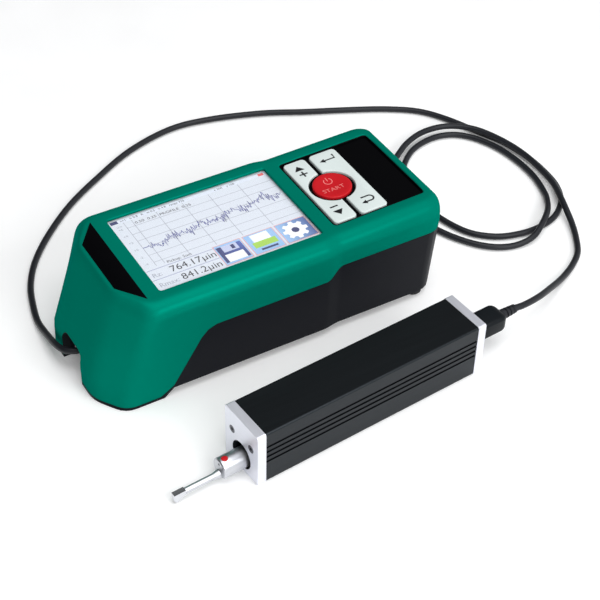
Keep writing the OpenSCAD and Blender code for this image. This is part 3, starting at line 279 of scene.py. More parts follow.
def plain_finish(name, colour, roughness, grain_mm, depth_mm, share=0.05, shine=0.5, gleam=(1.0, 1.0, 1.0),
                 metal=0.0):
    """Moulded or sheathed stuff: a fine grain in relief and gloss, and a faint broad drift of colour."""
    material, shader = start_finish(name)
    grain = put_noise(shader, [1.0 / (grain_mm * MM)] * 3)
    vary_colour(shader, put_noise(shader, [DRIFT_CELLS] * 3, 2.0), colour, share)
    vary_gloss(shader, grain, roughness, 0.05)
    emboss(shader, grain, depth_mm)
    set_values(shader, Specular_IOR_Level=shine, Specular_Tint=(*gleam, 1.0), Metallic=metal)
    return material


def brushed_finish(name, colour, roughness, stretch, depth_mm, share=0.05, metal=1.0):
    """Worked metal: noise drawn out along one axis gives fine lines in colour, gloss and relief."""
    material, shader = start_finish(name)
    lines = put_noise(shader, stretch)
    vary_colour(shader, lines, colour, share)
    vary_gloss(shader, lines, roughness, 0.04)
    emboss(shader, lines, depth_mm)
    set_values(shader, Metallic=metal)
    return material


def clear_finish(name):
    """A clear pane with a faintly uneven gloss."""
    material, shader = start_finish(name)
    vary_gloss(shader, put_noise(shader, [HAZE_CELLS] * 3, 2.0), 0.06, 0.03)
    set_values(shader, Base_Color=(0.97, 0.98, 1.0, 1.0), Alpha=0.05)
    return material


def printed_finish(name, glow):
    """Printed or lit areas that take their colour from the mesh's own ink attribute, with a fine raster."""
    material, shader = start_finish(name)
    ink = new_node(shader, "ShaderNodeVertexColor")
    ink.layer_name = "ink"
    vary_gloss(shader, put_noise(shader, [RASTER_CELLS] * 3, 1.0), 0.4, 0.05)
    link(ink, "Color", shader, "Base Color")
    link(ink, "Color", shader, "Emission Color")
    set_values(shader, Emission_Strength=glow, Specular_IOR_Level=0.2)
    return material


# Name, colour, roughness, grain and its depth in mm, then drift of colour and shine where they differ.
GREEN = plain_finish("green_moulding", (0.0, 0.180, 0.124), 0.32, 0.5, 0.003, 0.06, 0.0,
                     gleam=(0.0, 0.9, 0.85), metal=0.18)
BLACK = plain_finish("black_moulding", (0.005, 0.0058, 0.009), 0.38, 0.4, 0.004, 0.10, 0.06)
GLOSS_BLACK = plain_finish("gloss_black", (0.0015, 0.0015, 0.002), 0.14, 3.0, 0.001, 0.05, 0.06)
WHITE = plain_finish("white_key", (0.66, 0.73, 0.715), 0.42, 0.4, 0.003, 0.02, 0.3)
RED = plain_finish("red_key", (0.54, 0.010, 0.016), 0.34, 0.4, 0.003, 0.05, 0.3, gleam=(1.0, 0.5, 0.5))
BOARD = plain_finish("solder_mask", (0.01, 0.09, 0.03), 0.4, 1.0, 0.01)
CHIP = plain_finish("chip_resin", (0.015, 0.015, 0.016), 0.55, 0.3, 0.01)
WRAP = plain_finish("battery_wrap", (0.03, 0.07, 0.26), 0.35, 2.0, 0.01)
RUBBER = plain_finish("foot_rubber", (0.006, 0.006, 0.007), 0.75, 0.3, 0.02)
SHEATH = plain_finish("cable_sheath", (0.012, 0.013, 0.017), 0.40, 0.35, 0.006, 0.10, 0.3)
PLUG_BLACK = plain_finish("plug_moulding", (0.004, 0.006, 0.008), 0.42, 0.4, 0.006, 0.10, 0.15)
SCREEN_BODY = plain_finish("display_frame", (0.62, 0.66, 0.70), 0.45, 0.5, 0.004)
# Name, colour, roughness, cells per metre along x, y and z, depth of the lines in mm.
TUBE_BLACK = brushed_finish("black_anodised", (0.028, 0.032, 0.036), 0.36, (18.0, 1600.0, 1600.0), 0.002)
PLATE = brushed_finish("milled_plate", (0.80, 0.81, 0.88), 0.38, (1500.0, 40.0, 1500.0), 0.0006,
                       share=0.04, metal=0.75)
TURNED = brushed_finish("turned_aluminium", (0.60, 0.61, 0.64), 0.38, (2400.0, 60.0, 60.0), 0.0004)
STEEL = brushed_finish("ground_steel", (0.66, 0.67, 0.70), 0.18, (60.0, 1800.0, 1800.0), 0.0008)
DARK_STEEL = brushed_finish("blued_steel", (0.10, 0.10, 0.12), 0.30, (60.0, 1800.0, 1800.0), 0.001)
BRASS = brushed_finish("brass", (0.70, 0.49, 0.18), 0.30, (60.0, 1800.0, 1800.0), 0.002)
PANE = clear_finish("clear_pane")
LIT = printed_finish("lit_picture", 0.12)
PRINT = printed_finish("key_print", 0.0)


# Meshes

def pair(u, v):
    """Two coordinates side by side, one row for each point."""
    return np.stack([u, v], 1)


def unit_circle(turn):
    """Points of a circle of radius 1 at the given angles."""
    return np.stack([np.cos(turn), np.sin(turn)], -1)


def full_circle(sides):
    """Points of a circle of radius 1 in even steps once around."""
    return unit_circle(2 * np.pi * np.arange(sides) / sides)


def shares(count):
    """Even shares from 0 to 1."""
    return np.linspace(0.0, 1.0, count)


def grid_quads(rings):
    """Quads between rings of equal length: their points are counted ring by ring, and each ring closes."""
    rows, columns = rings.shape[:2]
    row = np.arange(rows - 1)[:, None] * columns
    column = np.arange(columns)[None, :]
    near, far = row + column, row + (column + 1) % columns
    return np.stack([near, far, far + columns, near + columns], -1).reshape(-1, 4)


def capped(rings):
    """Faces of a stack of rings: the quads between them and a polygon over either end."""
    rows, columns = rings.shape[:2]
    ring = np.arange(columns)[None]
    return [grid_quads(rings), ring[:, ::-1], (rows - 1) * columns + ring]


def add_piece(name, points, faces, material, body, sharp_deg=32.0, ink=None):
    """A mesh from points in millimetres in the row frame, smooth but for edges over sharp_deg.

    The faces are arrays with one row for each face, and each array holds faces of one kind.
    """
    mesh = bpy.data.meshes.new(name)
    mesh.from_pydata((np.asarray(points).reshape(-1, 3) * MM).tolist(), [],
                     list(chain.from_iterable(kind.tolist() for kind in faces)))
    mesh.polygons.foreach_set("use_smooth", np.ones(len(mesh.polygons), bool))
    mesh.set_sharp_from_angle(angle=np.radians(sharp_deg))
    if ink is not None:
        layer = mesh.color_attributes.new("ink", "FLOAT_COLOR", "POINT")
        opaque = np.column_stack([ink, np.ones(len(ink))])
        layer.data.foreach_set("color", opaque.astype(np.float32).ravel())
    mesh.materials.append(material)
    piece = new_object(name, mesh)
    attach(piece, body)
    return piece


def join_edges(piece):
    """Welds the points that lie on each other where the parts of a piece meet."""
    piece.modifiers.new("join_edges", "WELD").merge_threshold = JOIN


def at_height(outline, z):
    """A flat outline as points at one height."""
    return np.column_stack([outline, np.full(len(outline), z)])


def turned(profile, sides):
    """A profile of radius and height turned about an axis: one ring for each of its points."""
    radius, height = profile[:, None, :1], profile[:, None, 1:]
    return np.concatenate([radius * full_circle(sides), np.repeat(height, sides, 1)], -1)


def along_curve(points, per_span):
    """Points on a Catmull-Rom spline, which passes through every control point with a smooth tangent."""
    p = np.vstack([2 * points[0] - points[1], points, 2 * points[-1] - points[-2]])
    t = (np.arange(per_span) / per_span)[None, :, None]
    a, b, c, d = (p[k:len(p) - 3 + k, None, :] for k in range(4))
    spans = 0.5 * (2 * b + (c - a) * t + (2 * a - 5 * b + 4 * c - d) * t ** 2
                   + (3 * b - a - 3 * c + d) * t ** 3)
    return np.vstack([spans.reshape(-1, 3), points[-1:]])


def sweep(path, radius, sides):
    """Rings of a round tube: at each point of path a circle square to the path, upright against z."""
    ahead = unit(np.gradient(path, axis=0))
    across = unit(np.cross([0.0, 0.0, 1.0], ahead))
    over = np.cross(ahead, across)
    circle = full_circle(sides)[None]
    return path[:, None] + radius * (circle[..., :1] * across[:, None] + circle[..., 1:] * over[:, None])


def round_rect(u0, v0, u1, v1, r, steps=8):
    """Outline of a rectangle with rounded corners, counter-clockwise from its lower right corner."""
    turn = np.linspace(0.0, np.pi / 2, steps + 1)
    centres = np.array([[u1 - r, v0 + r], [u1 - r, v1 - r], [u0 + r, v1 - r], [u0 + r, v0 + r]])
    angles = turn[None, :] + np.radians([-90.0, 0.0, 90.0, 180.0])[:, None]
    return (centres[:, None] + r * unit_circle(angles)).reshape(-1, 2)


# Cable

CABLE_SIDES, CABLE_STEPS = 14, 6
CABLE_ROUTE = np.array([
    [3.5, 0.3, 9.9], [0.4, 2, 9.6], [-1.7, 5, 9], [-2.7, 11, 7.6], [-2.5, 19, 5.2], [-1.8, 33, 2],
    [0.7, 45, 1.6], [5, 58, 1.6], [13, 72, 1.6], [26, 87, 1.6], [44, 103, 1.6], [64, 116, 1.6],
    [88, 129, 1.6], [114, 136, 1.6], [136, 134, 1.6], [162, 126, 1.6], [183, 116, 1.6],
    [203, 107, 1.6], [221, 98, 1.6], [235, 88, 1.6], [244, 75, 1.6], [252, 57, 1.6], [258, 43, 1.6],
    [261, 27, 1.6], [261, 13, 1.6], [259, 1, 1.6], [253, -10, 1.6], [242, -18, 1.6],
    [229, -20.5, 1.6], [217, -19, 1.6], [208, -15, 1.6], [200, -7, 1.6], [195, 6, 1.6],
    [193, 21, 1.6], [194, 35, 1.6], [198, 46, 1.6], [205, 54.5, 1.6], [214, 61, 1.6],
    [224, 64, 1.6], [233, 64, 1.6], [241, 60.5, 1.6], [247.5, 53, 1.6], [252.5, 41, 1.6],
    [254.5, 27, 1.6], [254, 13, 1.6], [250.5, 0, 1.8], [246, -8, 3.2], [240, -15.5, 5],
    [232, -22, 5], [224, -26, 3], [215, -26, 1.6], [206, -23, 1.6], [198, -16, 1.6],
    [191.5, -6, 1.6], [187, 5, 1.6], [184.5, 17, 1.6], [184.5, 30, 2.2], [188, 42, 3.6],
    [194.5, 51, 4.8], [203, 58, 4.8], [212.5, 64, 4.8], [223.5, 67.5, 4.8], [234.5, 67, 4.8],
    [243, 62.5, 5], [250, 54.5, 5], [255.3, 41, 5], [257.8, 27, 5], [257.6, 13, 5], [256, 1, 5],
    [252.5, -9.5, 5], [249.5, -18, 4.2], [246.5, -27, 2.4], [242, -36, 1.6], [236, -44.5, 1.6],
    [227.5, -50.8, 1.6], [217, -56.7, 3.2], [206, -62.4, 6.8], [194.5, -67.9, 10.6], [184, -71, 12.9]])


def add_cable():
    """The cable: a tube along a smooth curve through its route, from one strain relief to the other."""
    first = from_tester([[PORT_MOUTH - PORT_PLUG_LEN - RELIEF_LEN, 0.0, PORT_Z]])
    last = from_drive([[DRIVE_LEN + PLUG_LEN + RELIEF_LEN, 0.0, PLUG_Z]])
    path = along_curve(np.vstack([first, from_tester(CABLE_ROUTE), last]), CABLE_STEPS)
    tube = sweep(path, CABLE_D / 2, CABLE_SIDES)
    cable = add_piece("cable_run", tube, capped(tube), SHEATH, "base", 60.0)
    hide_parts("cable")
    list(add_plugs())


def slab_along(stations, half_w, half_h, z, r):
    """Rounded rectangles in y and z around the height z, each at its station on x, closed at both ends."""
    rings = np.array([np.insert(round_rect(-w, z - h, w, z + h, r), 0, x, axis=1)
                      for x, w, h in zip(stations, half_w, half_h)])
    return rings.reshape(-1, 3), capped(rings)


def add_plug(name, node, length, z, reach, place):
    """A moulded plug: a rounded block, drawn in at its rear on part of a circle, and a shell ahead."""
    turn = np.radians(np.linspace(0.0, PLUG_ARC, 10))
    draw = np.concatenate([[PLUG_BEVEL, 0.0], PLUG_ROUND * (1 - np.cos(turn))])
    rear = length - PLUG_ROUND * (1 - np.sin(turn) / np.sin(turn[-1]))
    stations = np.concatenate([[0.0, PLUG_BEVEL_LEN], rear])
    points, faces = slab_along(stations, PLUG_W / 2 - draw, PLUG_H / 2 - draw * PLUG_H / PLUG_W, z, PLUG_R)
    shell_w, shell_h = [PLUG_SHELL_W / 2] * 2, [PLUG_SHELL_H / 2] * 2
    more, extra = slab_along([-reach, 0.01], shell_w, shell_h, z, PLUG_SHELL_R)
    faces += [kind + len(points) for kind in extra]
    plug = add_piece(name, place(np.vstack([points, more])), faces, PLUG_BLACK, "base", 40.0)
    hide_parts(node)
    return plug


def add_plugs():
    """The plug at the drive's rear and the one in the display unit's port, which points the other way."""
    rear = add_plug("drive_plug_grip", "drive_plug", PLUG_LEN, PLUG_Z, PLATE_T + PLUG_SHELL_REACH,
                    lambda p: from_drive(p + [DRIVE_LEN, 0.0, 0.0]))
    port = add_plug("port_plug_grip", "port_plug", PORT_PLUG_LEN, PORT_Z, PLUG_SHELL_REACH,
                    lambda p: from_tester(p * [-1.0, -1.0, 1.0] + [PORT_MOUTH, 0.0, 0.0]))
    return [rear, port]


# Pickup

def add_bore_shade_sheet():
    """A thin black sheet laid over the wall of the front plate's hole as painted shade: a thin closed
    profile turned about the hole's axis.
    """
    outer = HOLE_D / 2 - SHADE_SHEET_GAP
    inner = outer - SHADE_SHEET_T
    front, rear = 0.12, PLATE_T - 0.1
    profile = np.array([[inner, front], [inner, rear], [outer, rear], [outer, front], [inner, front]])
    rings = turned(profile, 72)[..., [2, 0, 1]] * [1.0, -1.0, 1.0] + [0.0, 0.0, HOLE_Z]
    # The black sheet darkens the bore's wall: painted shade.
    join_edges(add_piece("bore_shade_sheet", from_drive(rings), [grid_quads(rings)], PLUG_BLACK, "base", 40.0))


def add_index_dot():
    """The red dot on the pickup: a round patch that follows the body's cylinder, a hair proud of it."""
    reach = DOT_D / 2 * np.array([1.0, 1.0, 0.97, 0.9, 0.6, 0.3])
    proud = np.array([-0.3, 0.0, 0.035, 0.045, 0.045, 0.045])
    rings = turned(pair(reach, proud), 40) + [DOT_BEHIND - PICKUP_OUT, 0.0, PICKUP_Z]
    rings[..., 2] += np.sqrt((PICKUP_D / 2) ** 2 - rings[..., 1] ** 2)
    dot = add_piece("index_mark", from_drive(rings), capped(rings), RED, "pickup", 45.0)
    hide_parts("index_dot")


# Upper shell

def smooth_step(t):
    """The cubic that leaves 0 and reaches 1 level."""
    return t * t * (3 - 2 * t)


def soften(a, b, c, t):
    """A quadratic curve across the corner b, from RIDGE_ROUND before it to RIDGE_ROUND after it."""
    p, q, t = b + RIDGE_ROUND * unit(a - b), b + RIDGE_ROUND * unit(c - b), t[:, None]
    return (1 - t) ** 2 * p + 2 * t * (1 - t) * b + t ** 2 * q


# Line on which the shells meet, as x and z: along the foot, up a slope, around a bend and over the waist.
WAIST_T = shares(5)
PART_LINE = np.array([
    [-20.0, LIP_H], [FOOT_LEN - 0.4, LIP_H], [STEP_X, BASE_GAP + LIP_H],
    [PART_X - 2, PART_LOW - 5], [PART_X + 1, PART_LOW - 1.6], [PART_X + 5, PART_LOW],
    *pair(WAIST_X + WAIST_LEN * WAIST_T, PART_LOW + (PART_HIGH - PART_LOW) * smooth_step(WAIST_T)),
    [LENGTH + 20, PART_HIGH]])

# Columns of the shell's grid over one half of the plan: each has a stretch and a place along it.
PORT_Y = np.concatenate([np.linspace(0.0, PORT_W / 2 - PORT_R, 3),
                         PORT_W / 2 - PORT_R + PORT_R * np.sin(np.radians([22.5, 45, 67.5, 86]))])
SIDE_X = np.unique(np.concatenate([np.arange(32.0, 53.0), PART_LINE[3:6, 0], np.linspace(56, 102, 12)]))
STRETCHES = {
    "arch": PORT_Y, "end": shares(4), "ridge": shares(9),
    "shoulder": shares(9), "flank": shares(9)[1:], "side": SIDE_X,
    "waist": WAIST_X + WAIST_LEN * shares(17), "keypad": shares(8)[1:-1],
    "corner": shares(13), "tail": shares(5)[1:]}
STRETCH = np.repeat(list(STRETCHES), [len(places) for places in STRETCHES.values()])
PLACE = np.concatenate(list(STRETCHES.values()))
LEVEL = np.ones(len(PLACE))
SIDE_RINGS, EDGE_RINGS, INNER_SIDE_RINGS, INNER_EDGE_RINGS = 17, 13, 9, 7


def nose_end(z):
    """Distance of the left end from the plumb line over its foot: none up to the knee, then a slope."""
    return NOSE_LEAN * np.maximum(0.0, z - KNEE)


def half_plan(z, wall, inset):
    """Plan points of the back half, one for each column at its own height z.

    The outline is moved in by a wall and an edge's rounding. Lines run along the end and the sides,
    quadratic curves across the ridges, a smooth step at the waist, a quarter ellipse at the corner.
    """
    zero = np.zeros_like(z)
    lean = np.maximum(0.0, 1 - z / LEAN_TOP)
    side = WIDTH / 2 - SIDE_LEAN * lean - wall - inset
    right = LENGTH - RIGHT_LEAN * lean
    end = nose_end(z) + wall + END_SOFT * inset
    middle = pair(end, zero)
    facet_end = pair(end, END_HALF - END_TAPER * z - wall * np.tan(NOSE_TURN / 2))
    facet_side = pair(RIDGE_X + RIDGE_LEAN * z + wall * np.tan(np.pi / 4 - NOSE_TURN / 2)
                      + RIDGE_SOFT * inset, side)
    waist = pair(zero + WAIST_X, side)
    centre_x, centre_y = right - CORNER_R, side + wall + inset - WAIST_STEP - CORNER_R
    reach_x, reach_y = CORNER_R - wall - RIGHT_SOFT * inset, CORNER_R - wall - inset
    t = PLACE
    turn = np.pi / 2 * (1 - t)
    end_y = PORT_W / 2 + (facet_end[:, 1] - RIDGE_ROUND - PORT_W / 2) * t
    by_stretch = {
        "arch": pair(end, t),
        "end": pair(end, end_y),
        "ridge": soften(middle, facet_end, facet_side, t),
        "shoulder": soften(facet_end, facet_side, waist, t),
        "flank": pair((facet_side[:, 0] + RIDGE_ROUND) * (1 - t) + STEP_X * t, side),
        "side": pair(t, side),
        "waist": pair(t, side - WAIST_STEP * smooth_step(np.clip((t - WAIST_X) / WAIST_LEN, 0, 1))),
        "keypad": pair(BEND_X + (centre_x - BEND_X) * t, side - WAIST_STEP),
        "corner": pair(centre_x + reach_x * np.cos(turn), centre_y + reach_y * np.sin(turn)),
        "tail": pair(centre_x + reach_x, centre_y * (1 - t))}
    return np.select([(STRETCH == name)[:, None] for name in by_stretch], list(by_stretch.values()))


def arch_height(y):
    """Height of the cable port's arch over y: flat in the middle, a quarter circle at each side."""
    past = np.clip(np.abs(y) - (PORT_W / 2 - PORT_R), 0.0, PORT_R)
    return PORT_H - PORT_R + np.sqrt(PORT_R ** 2 - past ** 2)


def full_ring(z, wall, inset, lift):
    """A closed ring, counter-clockwise from the right end: the back half reversed, then the front half."""
    plan = half_plan(z, wall, inset)
    half = np.column_stack([plan, z + lift * rise(plan[:, 0])])
    return np.vstack([half[::-1], half[1:-1] * [1, -1, 1]])


def lower_edge():
    """Height of the shell's lower edge in each column: the parting line, or the arch over the cable port.

    A column's x depends on its height, so height and x are found in turn until they settle.
    """
    low = LEVEL * LIP_H
    for _ in range(6):
        low = np.interp(half_plan(low, 0.0, 0.0)[:, 0], PART_LINE[:, 0], PART_LINE[:, 1])
    return np.where(STRETCH == "arch", arch_height(np.minimum(PLACE, PORT_W / 2)), low)


def inner_rings():
    """Rings of the shell's inside: the sides moved in by a wall, which thins to the deck over the edge."""
    low, top = lower_edge(), HEIGHT - EDGE_R
    rings = [full_ring(low + (top - low) * t, WALL, 0.0, 0.0) for t in shares(INNER_SIDE_RINGS)]
    for a in np.linspace(0.0, np.pi / 2, INNER_EDGE_RINGS)[1:-1]:
        height = LEVEL * (top + (EDGE_R - DECK_T) * np.sin(a))
        rings.append(full_ring(height, WALL * np.cos(a), EDGE_R * (1 - np.cos(a)), np.sin(a)))
    rings.append(full_ring(LEVEL * HEIGHT, 0.0, EDGE_R, 1.0) - [0.0, 0.0, DECK_T])
    return np.array(rings)


def skin_rings():
    """Rings of the shell's outside: a lip turned in below, leaning sides and a rounded top edge."""
    low, top = lower_edge(), HEIGHT - EDGE_R
    rings = [full_ring(low, WALL, 0.0, 0.0), full_ring(low, LIP_SOFT, 0.0, 0.0)]
    for a in np.radians([30.0, 60.0]):
        rings.append(full_ring(low + LIP_SOFT * (1 - np.cos(a)), LIP_SOFT * (1 - np.sin(a)), 0.0, 0.0))
    for t in shares(SIDE_RINGS)[:-1]:
        rings.append(full_ring(low + LIP_SOFT + (top - low - LIP_SOFT) * t, 0.0, 0.0, 0.0))
    for a in np.linspace(0.0, np.pi / 2, EDGE_RINGS):
        height = LEVEL * (top + EDGE_R * np.sin(a))
        rings.append(full_ring(height, 0.0, EDGE_R * (1 - np.cos(a)), np.sin(a)))
    return np.array(rings)


def on_outline(outline, centre, angles):
    """Points of a closed outline at the given directions from centre, by its distance over direction."""
    away = outline - centre
    heading = np.arctan2(away[:, 1], away[:, 0])
    order = np.argsort(heading)
    reach = np.hypot(away[:, 0], away[:, 1])
    dense = np.interp(angles, heading[order], reach[order], period=2 * np.pi)
    return centre + dense[:, None] * unit_circle(angles)


def deck(edge, u0, u1, half, r, steps):
    """A flat deck from its outer edge to a rounded opening, in steps that each grow the opening and drop.

    The points of every ring lie in the same directions from the opening's middle as those of the edge.
    """
    centre = np.array([(u0 + u1) / 2, 0.0])
    angles = np.arctan2(edge[:, 1], edge[:, 0] - centre[0])
    order = np.argsort(angles)
    edge, angles = edge[order], angles[order]
    # Dense points between the outline's own, so that its distance can be read off in any direction.
    along = np.linspace(0.02, 0.98, 80)[None, :, None]
    rings = [edge]
    for grow, drop in steps:
        outline = round_rect(u0 - grow, -half - grow, u1 + grow, half + grow, r + grow, 24)[:, None]
        dense = (outline * (1 - along) + np.roll(outline, -1, axis=0) * along).reshape(-1, 2)
        xy = on_outline(dense, centre, angles)
        rings.append(np.column_stack([xy, HEIGHT + rise(xy[:, 0]) - drop]))
    return np.array(rings)


# How far the openings grow and drop over their softened edge, outside and inside.
OUTER_STEPS = ((0.6, 0.0), (0.3, 0.04), (0.09, 0.18), (0.0, 0.4), (0.0, DECK_T))
INNER_STEPS = ((0.0, DECK_T),)
PANEL_GAP, SEAM_STEPS, ON_FOLD = 0.1, 80, 1e-6
OPENINGS = ((SCREEN_X, SCREEN_X + SCREEN_LEN, SCREEN_W / 2, 1.0),
            (PANEL_X - PANEL_GAP, PANEL_X + PANEL_LEN + PANEL_GAP, PANEL_W / 2 + PANEL_GAP, KEY_R))


def add_upper_shell():
    """The green shell: an outer and an inner skin, each with a deck around the screen and the keypad."""
    grids = []
    for rings, steps, z, inside in ((skin_rings(), OUTER_STEPS, HEIGHT, False),
                                    (inner_rings(), INNER_STEPS, HEIGHT - DECK_T, True)):
        edge = rings[-1]
        fold = edge[np.abs(edge[:, 0] - BEND_X) < ON_FOLD]
        across = np.linspace(fold[:, 1].min(), fold[:, 1].max(), SEAM_STEPS + 1)[1:-1]
        seam = at_height(pair(np.full(len(across), BEND_X), across), z)
        halves = edge[edge[:, 0] <= BEND_X + ON_FOLD], edge[edge[:, 0] >= BEND_X - ON_FOLD]
        decks = [deck(np.vstack([part, seam]), *opening, steps) for part, opening in zip(halves, OPENINGS)]
        grids += [(grid, inside) for grid in (rings, *decks)]
    starts = np.cumsum([0] + [grid.size // 3 for grid, _ in grids])
    faces = [start + grid_quads(grid)[:, ::-1 if inside else 1]
             for start, (grid, inside) in zip(starts, grids)]
    points = np.vstack([grid.reshape(-1, 3) for grid, _ in grids])
    shell = add_piece("upper_shell", from_tester(points), faces, GREEN, "base", 40.0)
    join_edges(shell)
    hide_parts("top_housing")


def add_port_shade_sheet():
    """A thin black sheet laid over the cable port's arch and jambs as painted shade: a thin strip through
    the wall, carried along the port's arch.
    """
    turn = np.radians(np.linspace(0.0, 90.0, 9))
    corner = [PORT_W / 2 - PORT_R, PORT_H - PORT_R]

    def arch(inset, depth):
        """The port's outline moved in, at a depth behind the nose: two jambs and two quarter circles."""
        quarter = unit_circle(turn) * (PORT_R - inset) + corner
        half = np.vstack([[[PORT_W / 2 - inset, LIP_H]], quarter])
        outline = np.vstack([half, half[::-1] * [-1.0, 1.0]])
        return np.column_stack([nose_end(outline[:, 1]) + depth, outline])

    outer, inner, front, rear = SHADE_SHEET_GAP, SHADE_SHEET_GAP + SHADE_SHEET_T, 0.15, WALL + 1.0
    # The black strip darkens the port's arch and jambs: painted shade.
    rings = np.stack([arch(outer, front), arch(inner, front), arch(inner, rear), arch(outer, rear)], 1)
    add_piece("port_shade_sheet", from_tester(rings), capped(rings), PLUG_BLACK, "base", 40.0)


def add_badge():
    """The bare black plate beside the screen: a trapezoid with softened edges, a hair proud of the deck."""
    right = SCREEN_X - BADGE_GAP
    corners = np.array([[right - BADGE_W, -BADGE_SHORT], [right, -BADGE_LONG], [right, BADGE_LONG],
                        [right - BADGE_W, BADGE_SHORT]])
    centre = corners.mean(0)
    rings = np.array([at_height(centre + (corners - centre) * (1 - shrink), HEIGHT + z)
                      for shrink, z in ((0.0, -0.4), (0.0, 0.1), (0.012, 0.17), (0.035, 0.2))])
    plate = add_piece("badge_blank", from_tester(rings), capped(rings), GLOSS_BLACK, "base", 50.0)
    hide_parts("badge_plate")


# Keys

def key_outline(u0, u1):
    """A rounded rectangle whose edge next to the start button is bitten by a circle around that button."""
    right_side = u0 > START_U
    edge = abs((u0 if right_side else u1) - START_U)
    open_half = np.arccos(edge / BITE_R)
    sweep_back = np.linspace(open_half, -open_half, 49) + (0.0 if right_side else np.pi)
    bite = BITE_R * unit_circle(sweep_back) + [START_U, 0.0]
    runs = list(round_rect(u0, -KEY_HALF, u1, KEY_HALF, KEY_R).reshape(4, -1, 2))
    runs.insert(3 if right_side else 1, bite)
    return np.vstack(runs)


def moved_in(outline, by):
    """The outline with every point moved inwards along its own normal."""
    tangent = unit(np.roll(outline, -1, axis=0) - np.roll(outline, 1, axis=0))
    return outline + by * pair(-tangent[:, 1], tangent[:, 0])


def add_keypad_rim():
    """The lip around the keypad panel: a low rounded wall carried along the panel's rounded outline."""
    roll = np.radians(np.linspace(0.0, 180.0, 13))
    half, crown = RIM_W / 2, RIM_H - RIM_W / 2
    over = pair(half - half * np.cos(roll), crown + half * np.sin(roll))
    profile = np.vstack([[[0.0, RIM_FOOT]], over, [[RIM_W, RIM_FOOT], [0.0, RIM_FOOT]]])
    outline = round_rect(0.0, -PANEL_W / 2, PANEL_LEN, PANEL_W / 2, KEY_R)
    rings = np.array([at_height(moved_in(outline, inset), n) for inset, n in profile])
    join_edges(add_piece("keypad_rim", from_panel(rings), [grid_quads(rings)], GLOSS_BLACK, "base", 50.0))


def add_key(name, node, body, u0, u1):
    """A white rocker key: its outline carried up, rolled over a quarter circle and closed flat."""
    outline = key_outline(u0, u1)
    rings = [at_height(outline, KEY_FOOT)]
    for a in np.linspace(0.0, np.pi / 2, 6):
        inset, drop = KEY_ROLL * (1 - np.cos(a)), KEY_ROLL * (1 - np.sin(a))
        rings.append(at_height(moved_in(outline, inset), KEY_TOP - drop))
    rings = np.array(rings)
    key = add_piece(name, from_panel(rings), capped(rings), WHITE, body, 50.0)
    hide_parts(node)


def dish(r):
    """Height of the start button's hollow face over the distance from its middle: part of a sphere."""
    return DISH_LOW + DISH_R - np.sqrt(DISH_R ** 2 - r ** 2)


def add_start_button():
    """The red button: a profile turned about its axis, with a rolled rim and a hollow face."""
    edge, sides = START_D / 2, 96
    roll = np.radians([0.0, 25.0, 50.0, 70.0, 90.0])
    face = np.linspace(edge - START_RIM, 0.0, 10)[:-1]
    rim = pair(edge - START_ROLL * (1 - np.cos(roll)), START_SIDE + (START_TOP - START_SIDE) * np.sin(roll))
    profile = np.vstack([[[edge, KEY_FOOT]], rim, pair(face, np.minimum(START_TOP, dish(face)))])
    rings = turned(profile, sides)
    points = np.vstack([rings.reshape(-1, 3), [[0.0, 0.0, DISH_LOW]]]) + [START_U, 0.0, 0.0]
    walls, bottom, last_ring = capped(rings)
    fan = np.column_stack([last_ring[0], np.roll(last_ring[0], -1), np.full(sides, len(points) - 1)])
    button = add_piece("start_dish", from_panel(points), [walls, fan, bottom], RED, "start", 45.0)
    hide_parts("start_button")


# Printed marks and the screen's picture

INK_LAYER = 0.01


class Ink:
    """Flat patches of one colour each, gathered into one mesh; each lies in a layer above a base height."""

    def __init__(self, base=0.0):
        """No patches yet."""
        self.base, self.points, self.faces, self.colours, self.count = base, [], [], [], 0

    def take(self, flat, faces, colour, layer):
        """Takes flat points with their faces, in one colour or one for each point."""
        self.points.append(at_height(flat, self.base + INK_LAYER * layer))
        self.faces.append(self.count + faces)
        self.colours.append(np.broadcast_to(colour, (len(flat), 3)))
        self.count += len(flat)

    def patch(self, outline, colour, layer):
        """One polygon, counter-clockwise."""
        self.take(np.asarray(outline, float), np.arange(len(outline))[None], colour, layer)

    def box(self, u0, v0, u1, v1, colour, layer):
        """A rectangle between two corners."""
        self.patch([[u0, v0], [u1, v0], [u1, v1], [u0, v1]], colour, layer)

    def band(self, line, width, colour, layer):
        """A ribbon of constant width along an open line: each span has its own four corners."""
        line = np.asarray(line, float)
        ahead = unit(np.gradient(line, axis=0))
        out = pair(-ahead[:, 1], ahead[:, 0]) * width / 2
        near, far = line - out, line + out
        corners = np.stack([near[:-1], near[1:], far[1:], far[:-1]], 1).reshape(-1, 2)
        self.take(corners, np.arange(len(corners)).reshape(-1, 4), colour, layer)

    def disc(self, u, v, r, colour, layer, sides=28):
        """A circle as a polygon of many sides."""
        self.patch(r * full_circle(sides) + [u, v], colour, layer)

    def words(self, text, u, v, size, colour, layer, stretch=1.0):
        """Lettering that starts at u, v: the built-in letter shapes made into triangles."""
        curve = bpy.data.curves.new("lettering", "FONT")
        curve.body, curve.size, curve.resolution_u = text, size, 3
        holder = bpy.data.objects.new("lettering", curve)
        shape = bpy.data.meshes.new_from_object(holder)
        flat = np.zeros(len(shape.vertices) * 3, np.float32)
        shape.vertices.foreach_get("co", flat)
        corners = np.zeros(len(shape.loops), np.int32)
        shape.loops.foreach_get("vertex_index", corners)
        flat = flat.reshape(-1, 3)[:, :2] * [stretch, 1.0] + [u, v]
        self.take(flat, corners.reshape(-1, 3), colour, layer)
        bpy.data.objects.remove(holder)
        bpy.data.curves.remove(curve)
        bpy.data.meshes.remove(shape)

    def add(self, name, place, material, body):
        """The patches as one piece; place turns their points into the row frame."""
        points, ink = place(np.vstack(self.points)), np.vstack(self.colours)
        add_piece(name, points, self.faces, material, body, 30.0, ink)


KEY_INK, START_INK = (0.012, 0.012, 0.014), (0.80, 0.20, 0.19)
KEY_PRINT, START_PRINT, SIGN_LINE = 0.02, 0.03, 0.8


